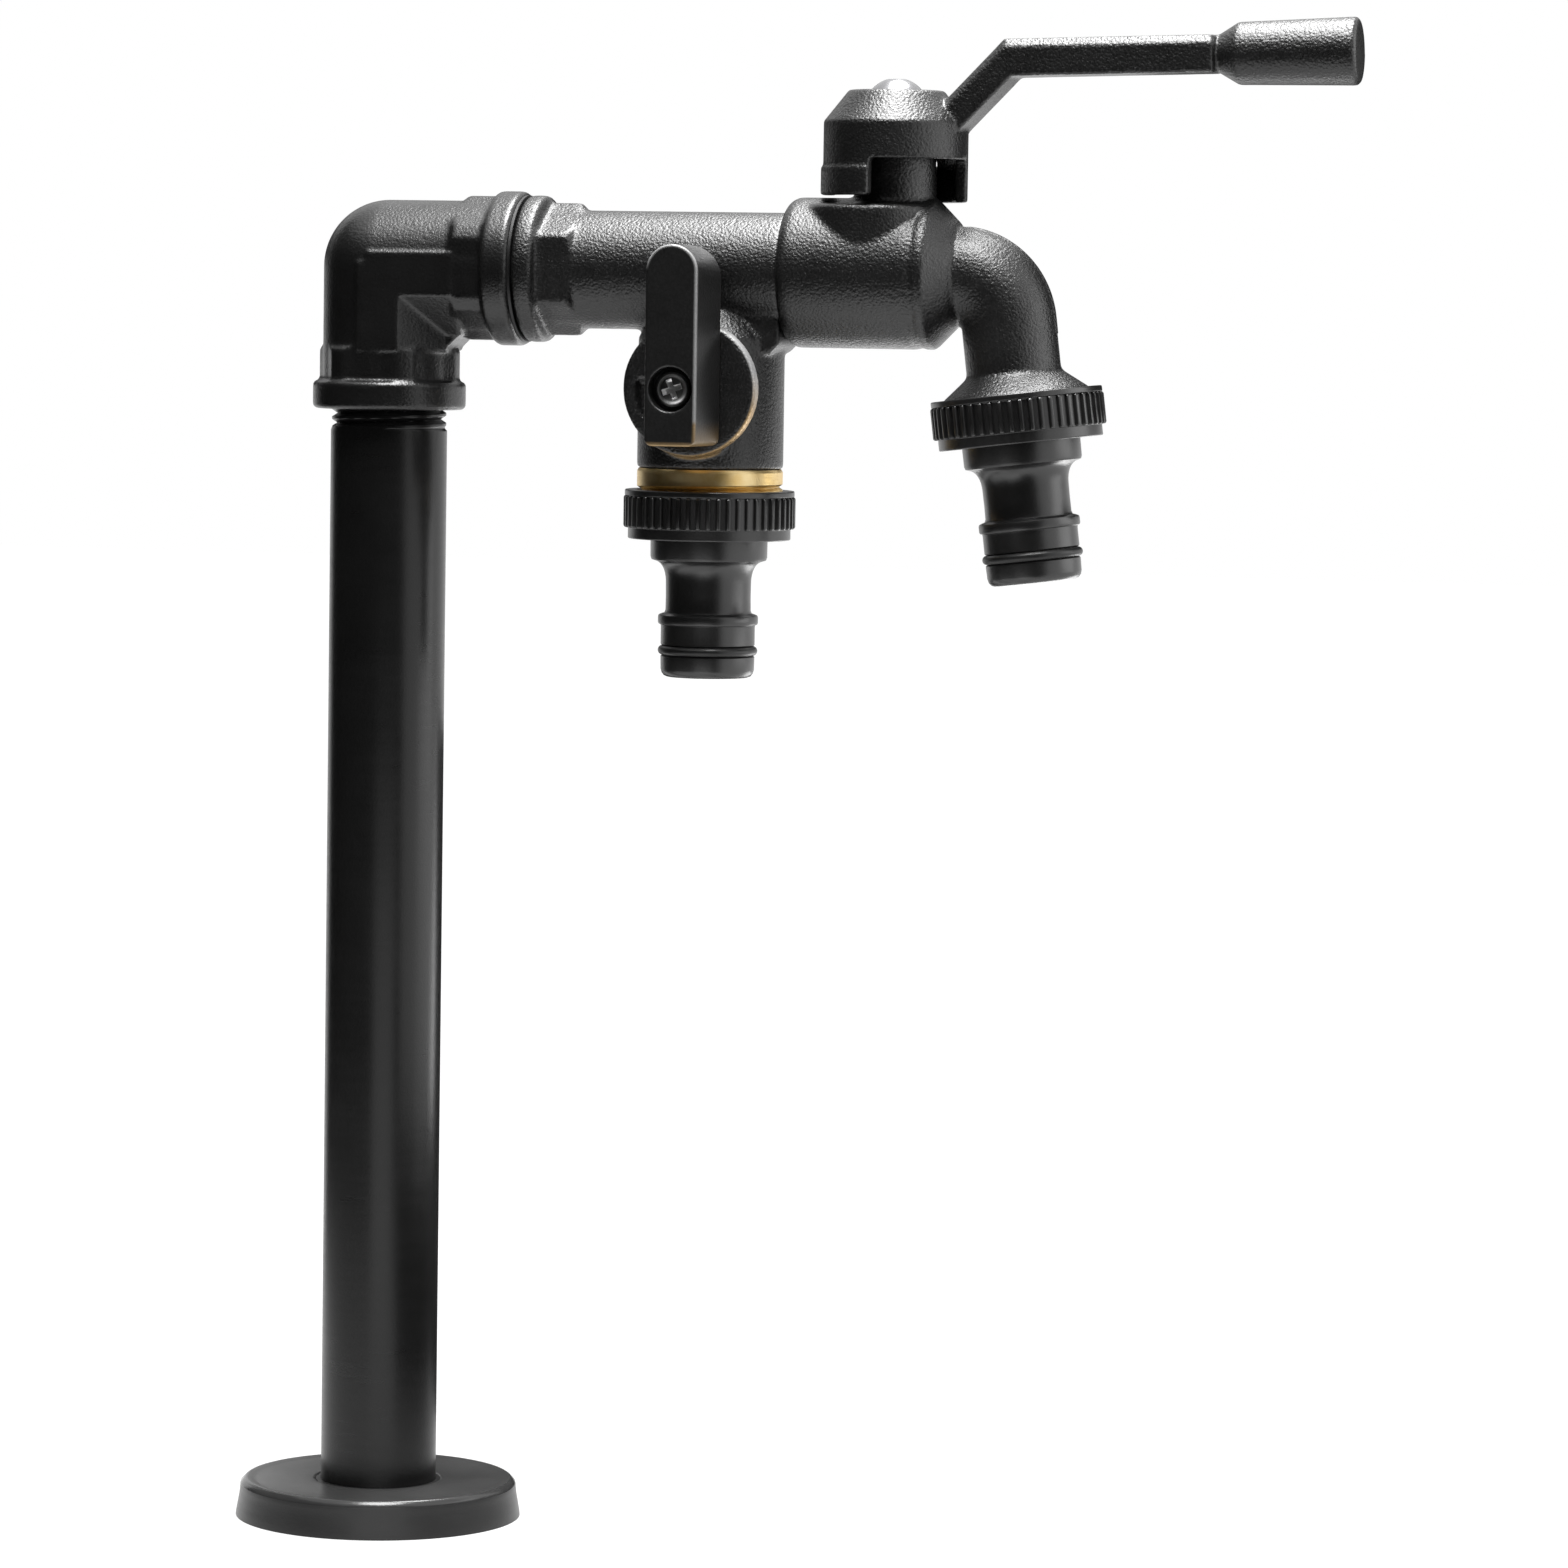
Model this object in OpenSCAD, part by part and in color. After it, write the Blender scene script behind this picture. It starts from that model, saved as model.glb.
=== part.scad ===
// Garden standpipe: half-inch riser on a round foot, with a ball tap of two outlets on its elbow.
// Lengths are in millimetres. The origin is on the riser's axis at the floor, +Z is up and +X runs
// along the tap to its spout. The side lever faces -Y.

/* [Foot] */
// Radius of the foot cover at the floor
cover_foot_r = 26.35; // [25.8:0.05:30]
// Radius of the foot cover at its top edge
cover_rim_r = 25.45; // [25:0.05:29]
// Height of the foot cover
cover_h = 7; // [6.2:0.1:10]
// Wall of the foot cover
cover_wall = 1.2; // [0.8:0.1:1.6]
// Thickness of the foot cover's top
cover_top_t = 1.6; // [1.4:0.1:2]
// Radial gap between the riser and the bore in the cover's top
cover_bore_gap = 0.7; // [0.4:0.1:1]
// Height of the rubber ring in the cover
grip_ring_h = 1.2; // [0.9:0.1:1.3]
// Radial thickness of the rubber ring in the cover
grip_ring_w = 1.35; // [1.2:0.05:1.8]
// Thickness of the fixing flange
flange_t = 3; // [2:0.1:3.8]
// Wall of the fixing flange's hub round the riser
flange_hub_wall = 3.3; // [2.5:0.1:4]
// Pitch circle diameter of the fixing holes
fixing_pcd = 38; // [37:0.1:39]
// Radius of a fixing hole
fixing_hole_r = 2.25; // [1.6:0.05:2.4]
// Number of fixing holes
fixing_count = 3; // [3:1:6]

/* [Riser] */
// Height of the tap's axis over the floor
tap_h = 231; // [150:1:1000]
// Radius of the riser
riser_r = 10.65; // [10.6:0.05:11]
// Radius of the riser's waterway
riser_bore_r = 7.4; // [6.5:0.1:7.6]
// Radius of the supply thread in the riser's foot
supply_thread_r = 7.9; // [7.7:0.05:8.4]
// Length of the supply thread in the riser's foot
supply_thread_len = 15; // [8:0.5:30]
// Radius of the half-inch thread on the riser and on the tap's shank
thread_r = 10.48; // [10.3:0.01:10.55]
// Pitch of the threads
thread_pitch = 1.814; // [1.4:0.001:2]
// Depth of the thread grooves that stay bare below the elbow
thread_groove_d = 0.55; // [0.3:0.05:0.8]
// Number of thread grooves that stay bare below the elbow
bare_grooves = 2; // [1:1:6]

/* [Elbow] */
// Length of each elbow leg from the corner of the axes to its end face
elbow_len = 26; // [25:0.1:30]
// Radius of the elbow's legs
elbow_leg_r = 12.2; // [11.9:0.1:12.6]
// Radius of the round band at each end
elbow_band_r = 14; // [13.4:0.1:15]
// Width of the round band at each end
elbow_band_w = 5.2; // [4:0.1:6]
// Size across the flats of the hexagon behind each band
elbow_hex_af = 24; // [23.6:0.1:25]
// Radius to which the hexagon's corners are turned down
elbow_hex_turn_r = 13.1; // [12.6:0.1:13.3]
// Width of the hexagon behind each band
elbow_hex_w = 6.2; // [5:0.1:7]
// Depth of the threaded sockets
elbow_socket_depth = 12.5; // [11:0.1:13]
// Radius of the elbow's waterway
elbow_way_r = 8.2; // [7:0.1:8.8]
// Rise of the flat side panel over the axis
elbow_panel_rise = 2.7; // [1:0.1:4]

/* [Tap inlet] */
// Thickness of the flat seal between elbow and tap
inlet_seal_t = 0.5; // [0.4:0.1:1.5]
// Length of the tap's threaded shank in the elbow
shank_len = 12; // [9:0.1:12.4]
// Radius of the round collar
inlet_collar_r = 13.3; // [12.8:0.1:14]
// Width of the round collar
inlet_collar_w = 3.9; // [3:0.1:6]
// Size across the flats of the inlet hexagon
inlet_hex_af = 21.2; // [21:0.1:23]
// Width of the inlet hexagon
inlet_hex_w = 6.5; // [5:0.1:9]
// Radius of the barrel
barrel_r = 10.7; // [10.4:0.1:11.4]
// Radius of the waterway in the inlet casting
inlet_way_r = 6; // [5:0.1:6.4]
// Distance from the inlet hexagon to the branch's axis
branch_offset = 24.1; // [20:0.1:40]
// Distance from the branch's axis to the seam with the front casting
seam_offset = 14.4; // [13.8:0.1:30]

/* [Branch] */
// Radius of the branch
branch_r = 13.25; // [13:0.05:13.6]
// Depth of the side valve's axis under the tap's axis
side_valve_drop = 21; // [20.5:0.1:26]
// Depth of the branch's lower face under the side valve's axis
branch_below_valve = 14.6; // [13:0.1:20]
// Length of bare brass under the branch
branch_bare_len = 7.8; // [7.6:0.1:14]
// Radius of the three-quarter-inch outlet threads
outlet_thread_r = 13.22; // [13:0.01:13.25]
// Radius of the side ball
side_ball_r = 8; // [7.6:0.1:8.2]
// Radius of the bore in the side ball
side_bore_r = 4.75; // [3.5:0.05:5]
// Radius of the round boss under the side lever
side_boss_r = 12.25; // [11.5:0.05:13]
// Thickness of the round boss under the side lever
side_boss_t = 3.7; // [3:0.1:4.2]
// Distance from the branch's axis to the face of the boss
side_boss_face = 16.2; // [16:0.1:18]
// Radius of the side spindle
side_stem_r = 3; // [2.6:0.05:3.2]

/* [Side lever] */
// Width of the side lever at its front
side_lever_front_w = 9.3; // [8.5:0.1:11]
// Width of the side lever at its back
side_lever_back_w = 12; // [11:0.1:13]
// Depth of the side lever from back to front
side_lever_depth = 12.4; // [11:0.1:16]
// Reach of the side lever above its pivot
side_lever_up = 25.6; // [20:0.1:32]
// Reach of the side lever below its pivot
side_lever_down = 10.1; // [9.8:0.1:12]
// Radius of the recess round the lever screw
side_recess_r = 3.95; // [3.8:0.05:4.2]
// Depth of the recess round the lever screw
side_recess_d = 3; // [2.4:0.1:3.6]
// Radius of the lever screw's head
lever_screw_head_r = 3.3; // [3.2:0.05:3.6]
// Height of the lever screw's head
lever_screw_head_h = 1.8; // [1:0.1:2.2]

/* [Ball housing] */
// Radius of the ball housing
housing_r = 13.5; // [13.2:0.1:15]
// Distance from the seam to the main spindle's axis
valve_offset = 19.2; // [18.6:0.1:22]
// Distance from the main spindle's axis to the housing's right shoulder
housing_reach = 7.8; // [7:0.1:9]
// Length of the slope between the shoulder and the spout
housing_slope = 3.6; // [3:0.1:5]
// Radius of the main ball
main_ball_r = 8.5; // [8.2:0.1:8.7]
// Radius of the bore in the main ball
main_bore_r = 5; // [4:0.1:5.4]
// Radius of the boss under the spindle's neck
neck_boss_r = 12.4; // [12:0.1:12.7]
// Distance from the main spindle's axis back to the boss's axis
neck_boss_shift = 3.4; // [3.1:0.1:3.6]
// Height of the boss over the tap's axis
neck_boss_h = 12.4; // [12:0.1:12.5]
// Radius of the neck's foot on the boss
neck_foot_r = 8; // [7.9:0.1:8.1]
// Height over the tap's axis at which the foot's cone meets the neck
neck_foot_h = 13.6; // [13:0.1:14]
// Radius of the spindle's neck
neck_r = 7.3; // [7:0.1:7.8]
// Height of the neck over the tap's axis
neck_h = 21.5; // [21:0.1:22]
// Radius of the main spindle
main_stem_r = 4; // [3.6:0.1:4.2]

/* [Spout] */
// Radius of the spout
spout_r = 8.5; // [8:0.1:9]
// Radius of the spout's waterway
spout_way_r = 6; // [5:0.1:6.4]
// Radius of the bend's centre line
spout_bend_r = 9.3; // [9.2:0.1:14]
// Outward tilt of the spout's end from the vertical
spout_tilt = 7; // [0:1:15]
// Length of the straight end from the bend to the outlet's face
spout_straight = 16.9; // [13:0.1:30]
// Height of the flare over the outlet thread
spout_flare_h = 3.7; // [3:0.1:5]

/* [Main handle] */
// Radius of the handle's hub
hub_r = 13; // [12.8:0.1:14]
// Wall of the handle's skirt
skirt_wall = 2.2; // [1.8:0.1:2.4]
// Height over the tap's axis of the lower edge of the right skirt
skirt_right_h = 12.9; // [12.7:0.1:13.5]
// Height over the tap's axis of the lower edge of the left skirt
skirt_left_h = 13.9; // [13.8:0.1:15]
// Height over the tap's axis of the top edge of the skirt's windows
window_top_h = 20.5; // [20:0.1:21]
// Height over the tap's axis of the hub's band
hub_band_h = 27.1; // [26:0.1:28]
// Height over the tap's axis of the hub's top
hub_top_h = 32.8; // [32:0.1:35]
// Radius of the hub's flat top
hub_top_r = 8.5; // [7.5:0.1:9.5]
// Distance from the spindle's axis to the arm's inner corner
arm_reach = 21.9; // [20:0.1:26]
// Height over the tap's axis of the arm's inner corner
arm_under_h = 35.3; // [35:0.1:38]
// Slope of the arm's crank
crank_angle = 46; // [42:1:50]
// Thickness of the arm's crank
crank_t = 5.8; // [5:0.1:6.2]
// Height of the arm's straight bar
bar_h = 6.7; // [6.2:0.1:8]
// Width of the arm
arm_w = 10; // [8:0.1:10.4]
// Bevel along both upper edges of the arm
arm_bevel = 1.4; // [1:0.1:1.8]
// Length of the arm's straight bar
bar_len = 36.3; // [20:0.1:60]
// Rise of the straight bar from the level
bar_tilt = 1.5; // [0:0.5:3]
// Length of the cone between bar and grip
grip_cone_len = 4; // [3:0.1:8]
// Length of the grip
grip_len = 21.5; // [15:0.1:40]
// Radius of the grip at its inner end
grip_inner_r = 5.55; // [5.3:0.05:7]
// Radius of the grip at its outer end
grip_outer_r = 6.05; // [5.6:0.05:8]

/* [Hose connectors] */
// Radius of the union nut over its ribs
nut_r = 15.6; // [15.3:0.1:17]
// Number of ribs round the union nut
nut_ribs = 52; // [36:1:60]
// Depth of the grooves between the ribs
nut_rib_d = 0.6; // [0.3:0.05:0.7]
// Height of the plain ring at the nut's top
nut_top_ring_h = 1.1; // [0.6:0.1:2]
// Height of the ribbed band
nut_band_h = 5.8; // [5:0.1:9]
// Height of the plain ring at the nut's foot
nut_foot_ring_h = 2; // [1:0.1:2.5]
// Thickness of the nut's inner lip
nut_lip_t = 1.4; // [1:0.1:1.8]
// Thickness of the flat washer
hose_washer_t = 1.8; // [1.2:0.1:2.4]
// Thickness of the nipple's flange
nipple_flange_t = 1.8; // [1.4:0.1:2.4]
// Radius of the nipple's collar
nipple_collar_r = 10.65; // [10:0.05:11.2]
// Height of the collar that shows below the nut
nipple_collar_h = 3.9; // [3:0.1:6]
// Radius of the nipple's neck
nipple_neck_r = 7.75; // [7.4:0.05:8]
// Length of the nipple's neck, with its flare
nipple_neck_len = 9.9; // [8:0.1:14]
// Radius of the nipple's ridge
nipple_ridge_r = 9.1; // [8.8:0.05:9.4]
// Height of the nipple's ridge
nipple_ridge_h = 1.6; // [1.2:0.1:2.4]
// Radius of the nipple's barrel
nipple_barrel_r = 8.55; // [8.4:0.05:8.7]
// Length of the barrel between the ridge and the O-ring
nipple_barrel_len = 3.9; // [3:0.1:6]
// Length of the nipple's end beyond the O-ring
nipple_end_len = 3.9; // [3.2:0.1:6]
// Radius of the nipple's waterway
nipple_way_r = 5; // [4:0.1:6]

/* [Hidden] */
$fn = 96;

// Finishes
cast_black = "#1c1c1d";
satin_black = "#222224";
plastic_black = "#151516";
rubber_black = "#0e0e0e";
brass = "#b8903f";
steel = "#c9c9cb";
white_seal = "#e9e6dd";

// Radial gap of a shaft that turns in its hole
run_gap = 0.05;
// Radial gap of threads and of pieces fitted once
fit_gap = 0.05;
// Overrun of every cut
cut_over = 1;
// Small bevel on turned and cast edges
edge_bevel = 0.6;
// Steps of a quarter round in an outline
round_steps = 6;
// Facets of small circles
small_facets = 32;

// Foot: places that follow from the sizes above
cover_bore_r = riser_r + cover_bore_gap;
grip_ring_r = riser_r + fit_gap;
cover_seat_r = grip_ring_r + grip_ring_w + fit_gap;
cover_inner_foot_r = cover_foot_r - cover_wall;
cover_inner_rim_r = cover_rim_r - cover_wall;
cover_inner_h = cover_h - cover_top_t;
grip_ring_gap = 0.05;
flange_gap = 0.4;
flange_r = cover_inner_rim_r - flange_gap;
flange_bore_r = riser_r + fit_gap;
flange_hub_r = flange_bore_r + flange_hub_wall;
flange_hub_h = cover_inner_h - flange_gap / 2;
rim_round = 0.7;

// Elbow and riser
elbow_socket_r = thread_r + fit_gap;
elbow_socket_end = elbow_len - elbow_socket_depth;
riser_end_gap = 0.5;
riser_top = tap_h - elbow_socket_end - riser_end_gap;
elbow_face_h = tap_h - elbow_len;
thread_run_share = 0.5;
groove_place_share = 0.75;
groove_half_share = 0.8;
bare_thread_len = (bare_grooves + thread_run_share) * thread_pitch;
elbow_collar_start = elbow_len - elbow_band_w - elbow_hex_w;
elbow_panel_proud = 0.15;
elbow_flat_r = elbow_leg_r + elbow_panel_proud;
octagon_corner = elbow_flat_r * tan(22.5);
elbow_panel_lead = 0.8;

// Places along the tap, from the riser's axis
inlet_face_x = elbow_len + inlet_seal_t;
collar_end_x = inlet_face_x + inlet_collar_w;
hex_end_x = collar_end_x + inlet_hex_w;
branch_x = hex_end_x + branch_offset;
seam_x = branch_x + seam_offset;
valve_x = seam_x + valve_offset;
shoulder_x = valve_x + housing_reach;
bend_x = shoulder_x + housing_slope + edge_bevel;

// Ball seats: each starts at its near share of the ball and ends a little past the ball
seat_near_share = 0.53;
seat_past_ball = 0.1;
seat_rim = 0.3;
main_seat_far = main_ball_r + seat_past_ball;
main_seat_r = main_ball_r + seat_rim;
side_seat_far = side_ball_r + seat_past_ball;
side_seat_r = side_ball_r + seat_rim;
tail_end_x = valve_x - main_seat_far;
housing_wall = 3.3;
tail_r = housing_r - housing_wall;
slope_end_r = housing_r - housing_slope;
shoulder_round = 2.4;
band_groove_w = 1.6;
band_groove_d = 0.5;
band_groove_back = 1.4;
body_ring_inset = 1.6;
body_ring_x = seam_x + body_ring_inset;
way_step = 0.1;

// O-rings: the section's radius, how far the ring sits below the shaft's surface, and how far the
// ring is from the end of its bore
o_ring_s = 0.5;
o_ring_sink = o_ring_s - run_gap / 2;
o_ring_inset = 1.4;

// Gaps of both spindles: under the flange, between the stem's end and the screw's seat, and between
// the turning tang and the ball seats
stem_flange_gap = 0.5;
stem_top_gap = 0.4;
tang_gap = 0.2;

// Main spindle, heights over the tap's axis
main_slot_w = 2.5;
main_slot_h = 5.5;
main_flange_r = 5.2;
main_flange_h = main_ball_r + stem_flange_gap;
main_flange_t = 1.8;
main_tang_r = main_ball_r * seat_near_share - tang_gap;
main_washer_h = main_flange_h + main_flange_t;
main_washer_t = 0.8;
main_chamber_h = main_washer_h + main_washer_t;
main_drive_r = 3.5;
main_drive_flat = 5;
packing_t = 2;
gland_len = 3;
gland_wall = 1.3;
gland_r = neck_r - gland_wall;
gland_hex_af = 12;
gland_hex_h = 3;
gland_start_h = neck_h - gland_len;
packing_start_h = gland_start_h - packing_t;
main_ring_heights = [main_chamber_h + o_ring_inset, packing_start_h - o_ring_inset];
main_stem_top = hub_top_h - stem_top_gap;
handle_screw_r = 2;
handle_screw_len = 8.3;
dome_r = 4.6;
dome_h = 2.2;
dome_socket_af = 3;
dome_socket_d = 1.6;
dome_sphere_r = (dome_r * dome_r + dome_h * dome_h) / (2 * dome_h);

// Neck of the grip's cone, a little inside the bar
grip_neck_gap = 0.2;
grip_neck_r = bar_h / 2 - grip_neck_gap;

// Skirt windows and the stop lug between them, as angles from +X
front_window = [-99.3, 5];
lug_start = 61;
lug_angle = 24;
stop_clear = 1;
turn_angle = 90;
back_window = [lug_start - stop_clear, lug_start + lug_angle + turn_angle + stop_clear];
lug_gap = 0.9;
lug_r = hub_r - edge_bevel;
lug_foot_h = 6;
joint_stub_r = spout_r - edge_bevel;
lug_top_h = window_top_h - lug_gap;
skirt_step = 0.4;
skirt_step_h = 18.9;
hub_cavity_r = hub_r - skirt_wall;

// Side spindle, distances from the branch's axis towards the lever
side_slot_w = 2.3;
side_slot_h = 5.2;
side_flange_r = 4.6;
side_flange_h = side_ball_r + stem_flange_gap;
side_flange_t = 1.5;
side_tang_r = side_ball_r * seat_near_share - tang_gap;
side_washer_h = side_flange_h + side_flange_t;
side_washer_t = 0.6;
side_chamber_h = side_washer_h + side_washer_t;
side_ring_heights = [side_chamber_h + o_ring_inset, side_boss_face - o_ring_inset];
lever_gap = 0.3;
lever_back = side_boss_face + lever_gap;
lever_front = lever_back + side_lever_depth;
lever_floor = lever_front - side_recess_d;
side_drive_r = 2.9;
side_drive_flat = 4.4;
side_stem_top = lever_floor - stem_top_gap;
lever_screw_r = 1.45;
lever_screw_len = 6.4;
lever_screw_slot_w = 1.1;
lever_screw_slot_share = 0.6;
lever_corner_r = 1.4;
slab_t = 0.05;
peg_r = 1.1;
peg_h = 1.3;
peg_orbit_r = 8.3;
peg_gap = 0.3;
pocket_margin = 10;
side_neck_r = 9.5;

// Branch
branch_face_z = -side_valve_drop - branch_below_valve;
branch_outlet_z = branch_face_z - branch_bare_len;
branch_tail_wall = 3.6;
branch_tail_r = outlet_thread_r - branch_tail_wall;
branch_cone_start = -12;
branch_cone_h = 5;
branch_top_r = 9.8;
brass_band_h = 3;
brass_groove_d = 0.7;
brass_groove_share = 0.6;
web_half_w = 7.5;

// Union nut and nipple, in the outlet's own frame with the thread's end face at zero
nut_h = nut_top_ring_h + nut_band_h + nut_foot_ring_h;
lip_top_z = -hose_washer_t - nipple_flange_t;
nut_foot_z = lip_top_z - nut_lip_t;
nut_top_z = nut_foot_z + nut_h;
nut_bore_r = outlet_thread_r + fit_gap;
nut_plain_inset = 0.2;
nut_foot_inset = 0.85;
nut_plain_r = nut_r - nut_plain_inset;
nut_foot_r = nut_r - nut_foot_inset;
nut_hole_r = nipple_collar_r + fit_gap;
nipple_flange_gap = 0.3;
nipple_flange_r = outlet_thread_r - nipple_flange_gap;
washer_hole_r = 6.5;
collar_foot_z = nut_foot_z - nipple_collar_h;
collar_step_w = 0.5;
flare_w = nipple_collar_r - nipple_neck_r - collar_step_w;
flare_len = 4;
ridge_top_z = collar_foot_z - nipple_neck_len;
ridge_foot_z = ridge_top_z - nipple_ridge_h;
hose_ring_s = 0.85;
hose_ring_sink = 0.35;
hose_ring_centre_r = nipple_barrel_r - hose_ring_sink;
hose_groove_half = hose_ring_s + fit_gap;
hose_ring_z = ridge_foot_z - nipple_barrel_len - hose_groove_half;
hose_groove_floor_r = hose_ring_centre_r - hose_ring_s - fit_gap;
nipple_tip_z = hose_ring_z - hose_groove_half - nipple_end_len;
tip_round = 1;
rib_shares = [0, 0.5, 0.62, 0.88];
thread_cover = 0.2;
front_thread_len = nut_top_z + thread_cover;

// Frames: the tap's axis over the riser, the two valves and the two outlets
module at_tap() {
    translate([0, 0, tap_h]) children();
}

module at_main_valve() {
    at_tap() translate([valve_x, 0, 0]) children();
}

module at_side_valve() {
    at_tap() translate([branch_x, 0, -side_valve_drop]) rotate([90, 0, 0]) children();
}

module at_side_flow() {
    at_side_valve() rotate([0, 0, 90]) children();
}

module at_branch_outlet() {
    at_tap() translate([branch_x, 0, branch_outlet_z]) children();
}

module at_bend_end() {
    at_tap()
        translate([bend_x + spout_bend_r * cos(spout_tilt), 0, spout_bend_r * (sin(spout_tilt) - 1)])
            rotate([0, -spout_tilt, 0]) children();
}

module at_front_outlet() {
    at_bend_end() translate([0, 0, -spout_straight]) children();
}

// Round bar of radius r along X, from x0 to x1
module bar_x(x0, x1, r) {
    translate([x0, 0, 0]) rotate([0, 90, 0]) cylinder(r = r, h = x1 - x0);
}

// Turned disc of height h with both edges bevelled
module bevelled_disc(r, h, bevel) {
    rotate_extrude()
        polygon([[0, 0], [r - bevel, 0], [r, bevel], [r, h - bevel], [r - bevel, h], [0, h]]);
}

// Hexagon of width af over its flats, with its corners turned down to turn_r
module turned_hexagon(af, turn_r, h) {
    intersection() {
        cylinder(r = af / 2 / cos(30), h = h, $fn = 6);
        bevelled_disc(turn_r, h, edge_bevel);
    }
}

// Wedge-shaped cut or sector: a ring from r0 to r1 and z0 to z1 over a span of angles
module ring_sector(span, r0, r1, z0, z1) {
    rotate([0, 0, span[0]])
        rotate_extrude(angle = span[1] - span[0])
            translate([r0, z0]) square([r1 - r0, z1 - z0]);
}

// O-ring round Z
module o_ring(centre_r, section_r, z) {
    translate([0, 0, z])
        rotate_extrude() translate([centre_r, 0]) circle(r = section_r, $fn = small_facets);
}

// Cross-section of a drive: a circle with two flats
module double_d(r, flat, z0, z1) {
    intersection() {
        translate([0, 0, z0]) cylinder(r = r, h = z1 - z0);
        translate([-flat / 2, -r - cut_over, z0]) cube([flat, 2 * (r + cut_over), z1 - z0]);
    }
}

// Ball with its flow along X and the slot for the spindle's tang across it
module valve_ball(r, bore_r, slot_w, slot_h) {
    difference() {
        sphere(r = r);
        bar_x(-r - cut_over, r + cut_over, bore_r);
        translate([-slot_w / 2, -r - cut_over, slot_h])
            cube([slot_w, 2 * (r + cut_over), r + cut_over]);
    }
}

// Ring that carries a ball on its flow side
module ball_seat(ball_r, bore_r, seat_r, far) {
    difference() {
        bar_x(ball_r * seat_near_share, far, seat_r);
        sphere(r = ball_r + run_gap);
        bar_x(0, far + cut_over, bore_r);
    }
}

// Spindle: tang in the ball, flange, shaft with O-ring grooves, drive end with a tapped hole
module spindle(shaft_r, flange_r, flange_h, flange_t, tang_r, tang_w, tang_h, shoulder_h, drive_r,
    drive_flat, top_h, tap_r, tap_len, ring_heights) {
    difference() {
        union() {
            intersection() {
                translate([-tang_w / 2, -flange_r, tang_h])
                    cube([tang_w, 2 * flange_r, flange_h - tang_h + flange_t / 2]);
                cylinder(r = tang_r, h = flange_h + flange_t / 2);
            }
            translate([0, 0, flange_h]) cylinder(r = flange_r, h = flange_t);
            translate([0, 0, flange_h]) cylinder(r = shaft_r, h = shoulder_h - flange_h);
            double_d(drive_r, drive_flat, shoulder_h - flange_t / 2, top_h);
        }
        translate([0, 0, top_h - tap_len]) cylinder(r = tap_r, h = tap_len + cut_over);
        for (z = ring_heights)
            ring_sector([0, 360], shaft_r - 2 * o_ring_s, shaft_r + cut_over, z - o_ring_s - fit_gap,
                z + o_ring_s + fit_gap);
    }
}

// Foot
module base_flange() {
    color(steel)
        difference() {
            union() {
                cylinder(r = flange_r, h = flange_t);
                cylinder(r = flange_hub_r, h = flange_hub_h);
            }
            translate([0, 0, -cut_over]) cylinder(r = flange_bore_r, h = cover_h + cut_over);
            for (i = [0 : fixing_count - 1])
                rotate([0, 0, 90 + i * 360 / fixing_count])
                    translate([fixing_pcd / 2, 0, -cut_over])
                        cylinder(r = fixing_hole_r, h = flange_t + 2 * cut_over);
        }
}

module base_cover() {
    color(satin_black)
        difference() {
            rotate_extrude()
                polygon(concat(
                    [[cover_bore_r, cover_h], [cover_bore_r, cover_inner_h],
                        [cover_inner_rim_r, cover_inner_h], [cover_inner_foot_r, 0], [cover_foot_r, 0]],
                    [for (i = [0 : round_steps])
                        [cover_rim_r - rim_round * (1 - cos(90 * i / round_steps)),
                            cover_h - rim_round * (1 - sin(90 * i / round_steps))]]));
            translate([0, 0, cover_inner_h - cut_over])
                cylinder(r = cover_seat_r, h = grip_ring_h + 2 * grip_ring_gap + cut_over);
        }
}

module cover_ring() {
    color(rubber_black)
        ring_sector([0, 360], grip_ring_r, grip_ring_r + grip_ring_w, cover_inner_h + grip_ring_gap,
            cover_inner_h + grip_ring_gap + grip_ring_h);
}

// Riser
module riser_pipe() {
    thread_start = elbow_face_h - bare_thread_len;
    color(satin_black)
        difference() {
            union() {
                cylinder(r = riser_r, h = thread_start);
                cylinder(r = thread_r, h = riser_top);
            }
            translate([0, 0, -cut_over]) cylinder(r = riser_bore_r, h = riser_top + 2 * cut_over);
            translate([0, 0, -cut_over]) cylinder(r = supply_thread_r, h = supply_thread_len + cut_over);
            for (i = [0 : bare_grooves - 1])
                translate([0, 0, elbow_face_h - (i + groove_place_share) * thread_pitch])
                    rotate_extrude()
                        polygon([[thread_r + thread_groove_d, thread_pitch * groove_half_share],
                            [thread_r - thread_groove_d, 0],
                            [thread_r + thread_groove_d, -thread_pitch * groove_half_share]]);
        }
}

// Elbow leg along +X, with its round band, hexagon, flat panels and keel
module elbow_leg() {
    bar_x(0, elbow_len - edge_bevel, elbow_leg_r);
    translate([elbow_len - elbow_band_w, 0, 0])
        rotate([0, 90, 0]) bevelled_disc(elbow_band_r, elbow_band_w, edge_bevel);
    translate([elbow_collar_start, 0, 0])
        rotate([0, 90, 0])
            turned_hexagon(elbow_hex_af, elbow_hex_turn_r, elbow_hex_w + edge_bevel);
    translate([-elbow_panel_lead, 0, 0])
        rotate([90, 0, 90])
            linear_extrude(height = elbow_collar_start + elbow_panel_lead + edge_bevel)
                polygon([[-elbow_flat_r, elbow_panel_rise], [-elbow_flat_r, -octagon_corner],
                    [-octagon_corner, -elbow_flat_r], [octagon_corner, -elbow_flat_r],
                    [elbow_flat_r, -octagon_corner], [elbow_flat_r, elbow_panel_rise]]);
}

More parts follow.
